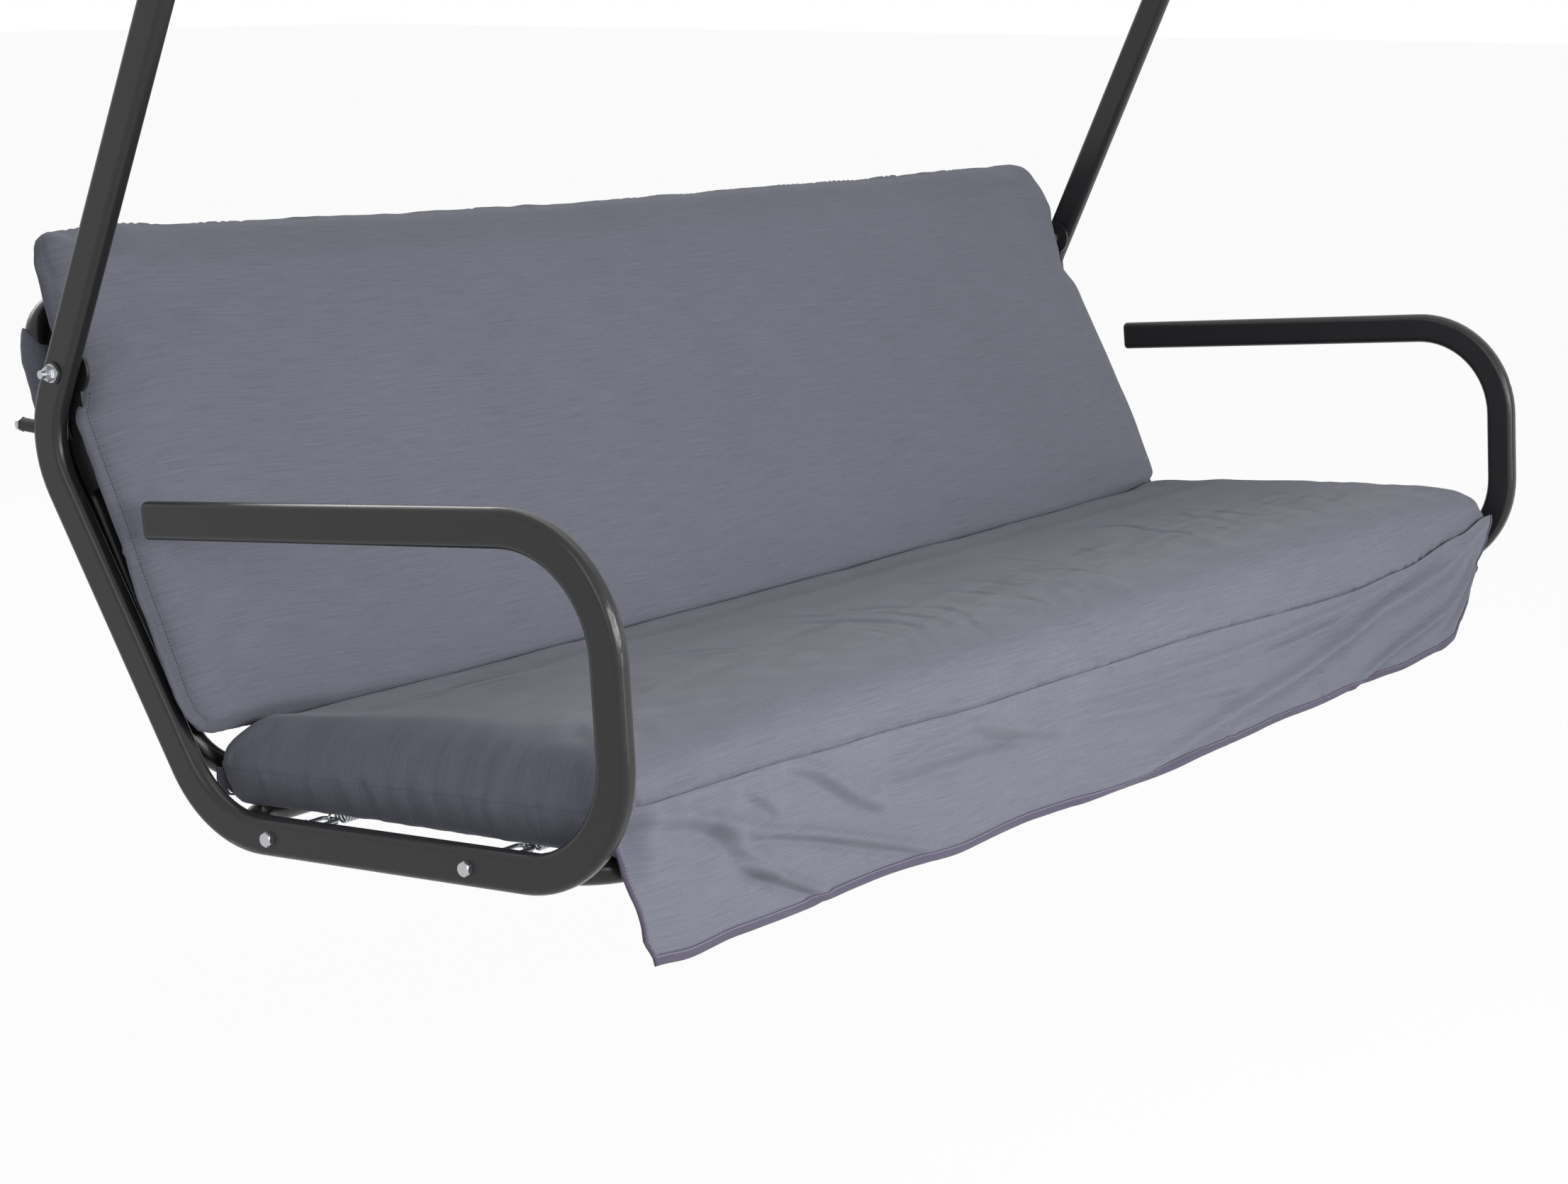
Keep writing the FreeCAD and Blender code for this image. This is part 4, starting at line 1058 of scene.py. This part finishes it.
def skirt_out(x, down):
    """How far the hanging cloth stands out in front of its seam."""
    below = max(down - along_line(SEAM_SAG, x), 0.0)
    full = eased(below / SKIRT_FULL)
    wave = sum(height * math.sin(x * pace + start) for height, pace, start in SKIRT_WAVES)
    end = SKIRT_END * over(SKIRT_END_ZONE, x) * full
    end += along_line(SKIRT_CURL, below) * over(SKIRT_CURL_ZONE, -x)
    gathers = puckers(x, below, *SKIRT_GATHERS) * eased(below / GATHER_FADE)
    gathers *= GATHER_LEAST + (1 - GATHER_LEAST) * over(GATHER_ZONE, -x)
    folds = crease_depth(SKIRT_CREASES, x, down) * eased(below / FOLD_FADE)
    rumples = waves(x, down * RUMPLE_STRETCH, SKIRT_RUMPLES) + waves(x, down, SKIRT_FINE_RUMPLES)
    swells = SKIRT_SWELLS * eased(below / SWELL_FADE)
    return SKIRT_STANDS + swells + full * (wave + rumples) + gathers - folds - end


def skirt_point(share, fall, lift=0.0):
    """A point of the skirt: its share along the seam, and its share of the way down."""
    left = along_line(SKIRT_LEFT, fall)
    right = along_line(SKIRT_RIGHT, fall)
    x = left + (right - left) * share
    seam = along_line(SEAM_SAG, x) + SKIRT_TUCK
    hem = along_line(SKIRT_HEM, x)
    down = seam + (hem - seam) * fall
    return skirt_frame(x, down, skirt_out(x, down) + lift)


def make_skirt(finish, tape):
    """The skirt, its binding tape and the tape's stitches."""
    size = (2 * SEAT_HALF, SKIRT_DROP)
    shell = cloth_shell(SKIRT_COLUMNS, SKIRT_ROWS, size, skirt_point, downward=True)
    piece = finish_cloth("skirt_cloth", shell, finish, SKIRT_CLOTH)
    binding = make_binding(tape)
    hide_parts("seat_skirt")


def binding_path(inset):
    """Shares along and down the skirt on a line set in from its free edges, from the left to the right."""
    side = inset * TAPE_SIDE / (2 * SEAT_HALF)
    low = 1 - inset / SKIRT_DROP
    falls = [low * index / TAPE_SIDE_STEPS for index in range(TAPE_SIDE_STEPS)]
    path = [(side, fall) for fall in falls]
    for index in range(TAPE_HEM_STEPS + 1):
        path.append((side + (1 - 2 * side) * index / TAPE_HEM_STEPS, low))
    path += [(1 - side, fall) for fall in reversed(falls)]
    return path


def make_binding(finish):
    """The tape folded around the skirt's free edges."""
    half = TAPE_WIDTH * 0.5
    section = (
        (TAPE_WIDTH, TAPE_LIFT), (half, TAPE_LIFT * TAPE_CROWN), (TAPE_EDGE, TAPE_LIFT), (-TAPE_EDGE, 0.0),
        (TAPE_EDGE, -TAPE_LIFT), (half, -TAPE_LIFT), (TAPE_WIDTH, -TAPE_LIFT),
    )
    paths = [binding_path(inset) for inset, _ in section]
    shell, places = grid_shell(len(paths[0]) - 1, len(section) - 1)
    cloth = shell.loops.layers.uv.new("cloth")
    seam = shell.loops.layers.uv.new("seam")
    for point, (column, row) in places.items():
        share, fall = paths[row][column]
        point.co = skirt_point(share, fall, section[row][1])
    for face in shell.faces:
        for loop in face.loops:
            column, row = places[loop.vert]
            loop[cloth].uv = (column * TAPE_RUN, TAPE_ACROSS[row])
            loop[seam].uv = (column * TAPE_RUN, TAPE_ACROSS[row])
    bmesh.ops.recalc_face_normals(shell, faces=shell.faces)
    piece = finish_cloth("skirt_tape", shell, finish, TAPE_CLOTH)
    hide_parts("skirt_binding")
    return piece


# Hood

def hood_point(share, travelled):
    """A point of the hood: its share along the backrest and its distance along the cloth over the tube."""
    bend = HOOD_RADIUS * math.pi
    side = share * 2 - 1
    if travelled < HOOD_FRONT:
        y = BACK_BEHIND - HOOD_RADIUS
        z = BACK_TOP - HOOD_FRONT + travelled
        flare = 0.0
    elif travelled < HOOD_FRONT + bend:
        turn = (travelled - HOOD_FRONT) / HOOD_RADIUS
        y = BACK_BEHIND - HOOD_RADIUS * math.cos(turn)
        z = BACK_TOP + HOOD_RADIUS * math.sin(turn)
        flare = 0.0
    else:
        fall = travelled - HOOD_FRONT - bend
        y = BACK_BEHIND + HOOD_RADIUS + HOOD_SLOPE * fall * eased(fall / HOOD_SLOPE_FADE)
        z = BACK_TOP - fall
        flare = eased(fall / HOOD_FLARE_FADE)
    loose = waves(side * HOOD_LOOSE_RUN, travelled, HOOD_LOOSE)
    loose *= eased((travelled - HOOD_FRONT) / HOOD_LOOSE_FADE)
    hem = HOOD_HEM * math.sin(side * HOOD_HEM_PACE) * flare
    x = side * (HOOD_HALF + (HOOD_FLARE - HOOD_HALF) * flare * abs(side) ** HOOD_FLARE_POWER)
    return BACK_PLACE @ Vector((x, y + abs(loose) + abs(hem), z))


def make_hood(finish):
    """The pocket of cloth over the backrest's top tube."""
    size = (2 * HOOD_HALF, HOOD_FRONT + HOOD_RADIUS * math.pi + HOOD_BEHIND)
    shell = cloth_shell(
        HOOD_COLUMNS, HOOD_ROWS, size,
        lambda along, across: hood_point(along, across * size[1]), seam_far=True,
    )
    bmesh.ops.recalc_face_normals(shell, faces=shell.faces)
    piece = finish_cloth("hood_cloth", shell, finish, HOOD_CLOTH)
    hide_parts("back_cushion_hood")


# Wire mats

def add_wire(shell, start, end, diameter):
    """One straight wire with closed ends."""
    way = end - start
    place = Matrix.Translation((start + end) / 2) @ way.to_track_quat("Z", "Y").to_matrix().to_4x4()
    bmesh.ops.create_cone(
        shell, cap_ends=True, segments=WIRE_SIDES, radius1=diameter / 2, radius2=diameter / 2,
        depth=way.length, matrix=place,
    )


def make_mat(node, half, near, far, columns, rows, place):
    """A net of welded wires: a thick border, and thin wires that cross on two levels."""
    shell = bmesh.new()
    border = MAT_BORDER / 2
    left = -half + border
    low = near + border
    wide = 2 * (half - border)
    deep = far - near - MAT_BORDER
    for index in range(columns + 1):
        x = left + wide * index / columns
        edge = index in (0, columns)
        start = Vector((x, low, 0.0 if edge else MAT_WIRE * WIRE_CROSSING))
        add_wire(shell, start, start + Vector((0, deep, 0)), MAT_BORDER if edge else MAT_WIRE)
    for index in range(rows + 1):
        y = low + deep * index / rows
        edge = index in (0, rows)
        start = Vector((left, y, 0.0 if edge else -MAT_WIRE * WIRE_CROSSING))
        add_wire(shell, start, start + Vector((wide, 0, 0)), MAT_BORDER if edge else MAT_WIRE)
    piece = new_piece(node + "_wires", shell, place, FINISHES["black_frame"])
    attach(piece, "seat")
    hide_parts(node)


def make_mats():
    """The sprung mat under the seat cushion and the mat welded in the backrest."""
    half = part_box("seat_mat")[1][0]
    spring_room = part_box("seat_frame")[1][0] - SEAT_TUBE / 2 - half
    make_mat(
        "seat_mat", half, FRONT_TUBE_Y + spring_room, REAR_TUBE_Y - spring_room,
        SEAT_MAT_COLUMNS, SEAT_MAT_ROWS, SEAT_PLACE @ Matrix.Translation((0, 0, SPRING_HEIGHT)),
    )
    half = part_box("back_mat")[1][0]
    inside = BACK_X - half
    upright = Matrix.Translation((0, BACK_BEHIND, 0)) @ Matrix.Rotation(math.pi / 2, 4, "X")
    make_mat(
        "back_mat", half, BACK_BOTTOM + inside, BACK_TOP - inside,
        BACK_MAT_COLUMNS, BACK_MAT_ROWS, BACK_PLACE @ upright,
    )


# Sleeves and ties

def smooth_line(points, steps):
    """A smooth line through points, with a few steps between each pair."""
    line = []
    ends = [points[0] * 2 - points[1]] + list(points) + [points[-1] * 2 - points[-2]]
    for before, start, end, after in zip(ends, ends[1:], ends[2:], ends[3:]):
        for index in range(steps):
            t = index / steps
            line.append(0.5 * (
                start * 2 + (end - before) * t + (before * 2 - start * 5 + end * 4 - after) * t ** 2
                + (start * 3 - before - end * 3 + after) * t ** 3
            ))
    line.append(points[-1])
    return line


def add_ribbon(shell, line, across):
    """A ribbon along a line: across gives the way over its width at each share of its length."""
    cloth = shell.loops.layers.uv["cloth"]
    seam = shell.loops.layers.uv["seam"]
    runs = [0.0]
    for start, end in zip(line, line[1:]):
        runs.append(runs[-1] + (end - start).length)
    columns = []
    for index, point in enumerate(line):
        way = across(index / (len(line) - 1))
        columns.append([
            shell.verts.new(point + way * (row / RIBBON_ROWS - 0.5)) for row in range(RIBBON_ROWS + 1)
        ])
    width = across(0.0).length
    for index in range(len(line) - 1):
        for row in range(RIBBON_ROWS):
            corners = ((index, row), (index + 1, row), (index + 1, row + 1), (index, row + 1))
            face = shell.faces.new([columns[run][high] for run, high in corners])
            for loop, (run, high) in zip(face.loops, corners):
                loop[cloth].uv = (runs[run], width * high / RIBBON_ROWS)
                loop[seam].uv = loop[cloth].uv
    return runs[-1]


def sleeve_point(side, turn, fall):
    """A point of a sleeve: its turn round the tube from the front, and how far it is below the top."""
    share = fall / SLEEVE_HIGH
    rim = SLEEVE_RIM * eased(1.0 - turn / SLEEVE_RIM_TURN) * (1 - share)
    height = SLEEVE_TOP - fall - rim
    rise = max(height - BACK_TOP + RING_CORNER, 0.0)
    middle = BACK_X - RING_CORNER + math.sqrt(RING_CORNER ** 2 - rise ** 2)
    swell = max(math.sin(turn - SLEEVE_SWELL_TURN), 0.0)
    radius = SLEEVE_RADIUS + swell * (SLEEVE_LOOSE * share + SLEEVE_LIP * math.exp(-fall / SLEEVE_LIP_FADE))
    radius += swell * waves(turn * SLEEVE_RUMPLE_RUN, fall, SLEEVE_RUMPLES)
    return BACK_PLACE @ Vector((
        side * (middle + radius * math.sin(turn)), BACK_BEHIND - radius * math.cos(turn), height,
    ))


def make_sleeves(finish):
    """Sleeves on the cushion's back, slipped over the backrest's corners: close at the top, loose below."""
    size = (SLEEVE_RADIUS * SLEEVE_TURN, SLEEVE_HIGH)
    for name, side in (("left", -1), ("right", 1)):
        shell = cloth_shell(
            SLEEVE_COLUMNS, SLEEVE_ROWS, size,
            lambda along, across: sleeve_point(side, SLEEVE_START + SLEEVE_TURN * along, across * size[1]),
        )
        bmesh.ops.recalc_face_normals(shell, faces=shell.faces)
        piece = finish_cloth("back_sleeve_" + name, shell, finish, SLEEVE_CLOTH)


def tie_lines(side):
    """One tie's tapes: two turns round the tube, two runs up to the cushion and two loose ends."""
    centre = BACK_PLACE @ Vector((side * TIE_X, BACK_BEHIND, BACK_BOTTOM))
    lines = []
    for shift in TIE_TURNS:
        ring = []
        for index in range(TIE_RING + 1):
            angle = math.pi * 2 * index / TIE_RING
            ring.append(centre + Vector((
                side * shift, TIE_RADIUS * math.cos(angle), TIE_RADIUS * math.sin(angle),
            )))
        lines.append((smooth_line(ring, RING_STEPS), lambda share: Vector((TIE_WIDTH, 0, 0))))
    facing = Vector((-side * TIE_FACING[0], -TIE_FACING[1], 0)) * TIE_WIDTH
    for shift in TIE_LAYERS:
        points = [SEAT_PLACE @ Vector((side * (x - shift), y, z)) for x, y, z in TIE_PATH]
        lines.append((smooth_line(points, LINE_STEPS), lambda share: facing * (1 - TIE_TAPER * share)))
    for swing in TIE_ENDS:
        points = [centre + Vector((side * swing, -TIE_RADIUS - TIE_END_GAP, 0.0))]
        for y, z in TIE_END_DROPS:
            points.append(points[-1] + Vector((side * swing, y, z)))
        lines.append((smooth_line(points, LINE_STEPS), lambda share: Vector((TIE_WIDTH, TIE_END_SLANT, 0))))
    return lines


def make_ties(finish):
    """Tapes from the seat cushion's rear corners, tied round the backrest's lower tube."""
    shell = bmesh.new()
    shell.loops.layers.uv.new("cloth")
    shell.loops.layers.uv.new("seam")
    length = 0.0
    for side in (-1, 1):
        for line, across in tie_lines(side):
            length += add_ribbon(shell, line, across)
    bmesh.ops.recalc_face_normals(shell, faces=shell.faces)
    piece = finish_cloth("tie_tapes", shell, finish, TIE_CLOTH)
    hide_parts("cushion_ties")


SEAT_PAD = {
    "width": 2 * SEAT_HALF, "depth": SEAT_DEPTH, "corner": 0.024, "crown": 0.002, "end_shift": 0.0,
    "left": SEAT_LEFT, "right": SEAT_RIGHT, "near": SEAT_NEAR, "far": SEAT_FAR, "far_pressed": 0.55,
    "dent": 0.008, "rolls": (0.042, 0.044, 0.037), "low_rolls": (0.014, 0.018, 0.008),
    "top": SEAT_TOP, "low": SEAT_LOW, "seam": SEAT_SEAM, "sag": seam_sag,
}
BACK_PAD = {
    "width": 2 * BACK_HALF, "depth": BACK_LENGTH, "corner": 0.030, "crown": 0.003, "end_shift": END_SHIFT,
    "left": BACK_LEFT, "right": BACK_RIGHT, "near": BACK_NEAR, "far": BACK_FAR, "far_pressed": 1.0,
    "dent": 0.0, "rolls": (0.014, 0.060, 0.036), "low_rolls": (0.016, 0.040, 0.085),
    "top": BACK_FULL, "low": 0.0, "seam": BACK_THICK / 2, "sag": lambda x, y: 0.0,
}


def dress_seat():
    """Cushions, skirt, hood, sleeves, ties and wire mats."""
    # the seat's cloth is seamed: painted shade darkens its seam groove
    seat_cloth = woven("seat_cloth", SLATE, seamed=True)
    back_cloth = woven("back_cloth", SLATE, rows=BACK_STITCHES)
    plain_cloth = woven("skirt_cloth", SLATE)
    hood_cloth = woven("hood_cloth", SLATE, rows=HOOD_STITCHES)
    tape = woven("binding_tape", MAUVE, rows=TAPE_STITCHES)
    flat = SEAT_PLACE @ Matrix.Translation((0, SEAT_FRONT, 0))
    make_cushion("seat_cushion_padding", SEAT_PAD, flat, seat_lift, seat_cloth)
    upright = Matrix.Translation((0, BACK_REAR, BACK_LOW)) @ Matrix.Rotation(math.pi / 2, 4, "X")
    make_cushion("back_cushion_padding", BACK_PAD, BACK_PLACE @ upright, back_lift, back_cloth)
    make_skirt(plain_cloth, tape)
    make_hood(hood_cloth)
    make_sleeves(plain_cloth)
    make_ties(tape)
    make_mats()


def main():
    """Builds the scene."""
    bpy.context.scene.view_settings.view_transform = "Standard"
    make_camera()
    make_room()
    dress_frame()
    dress_seat()


main()
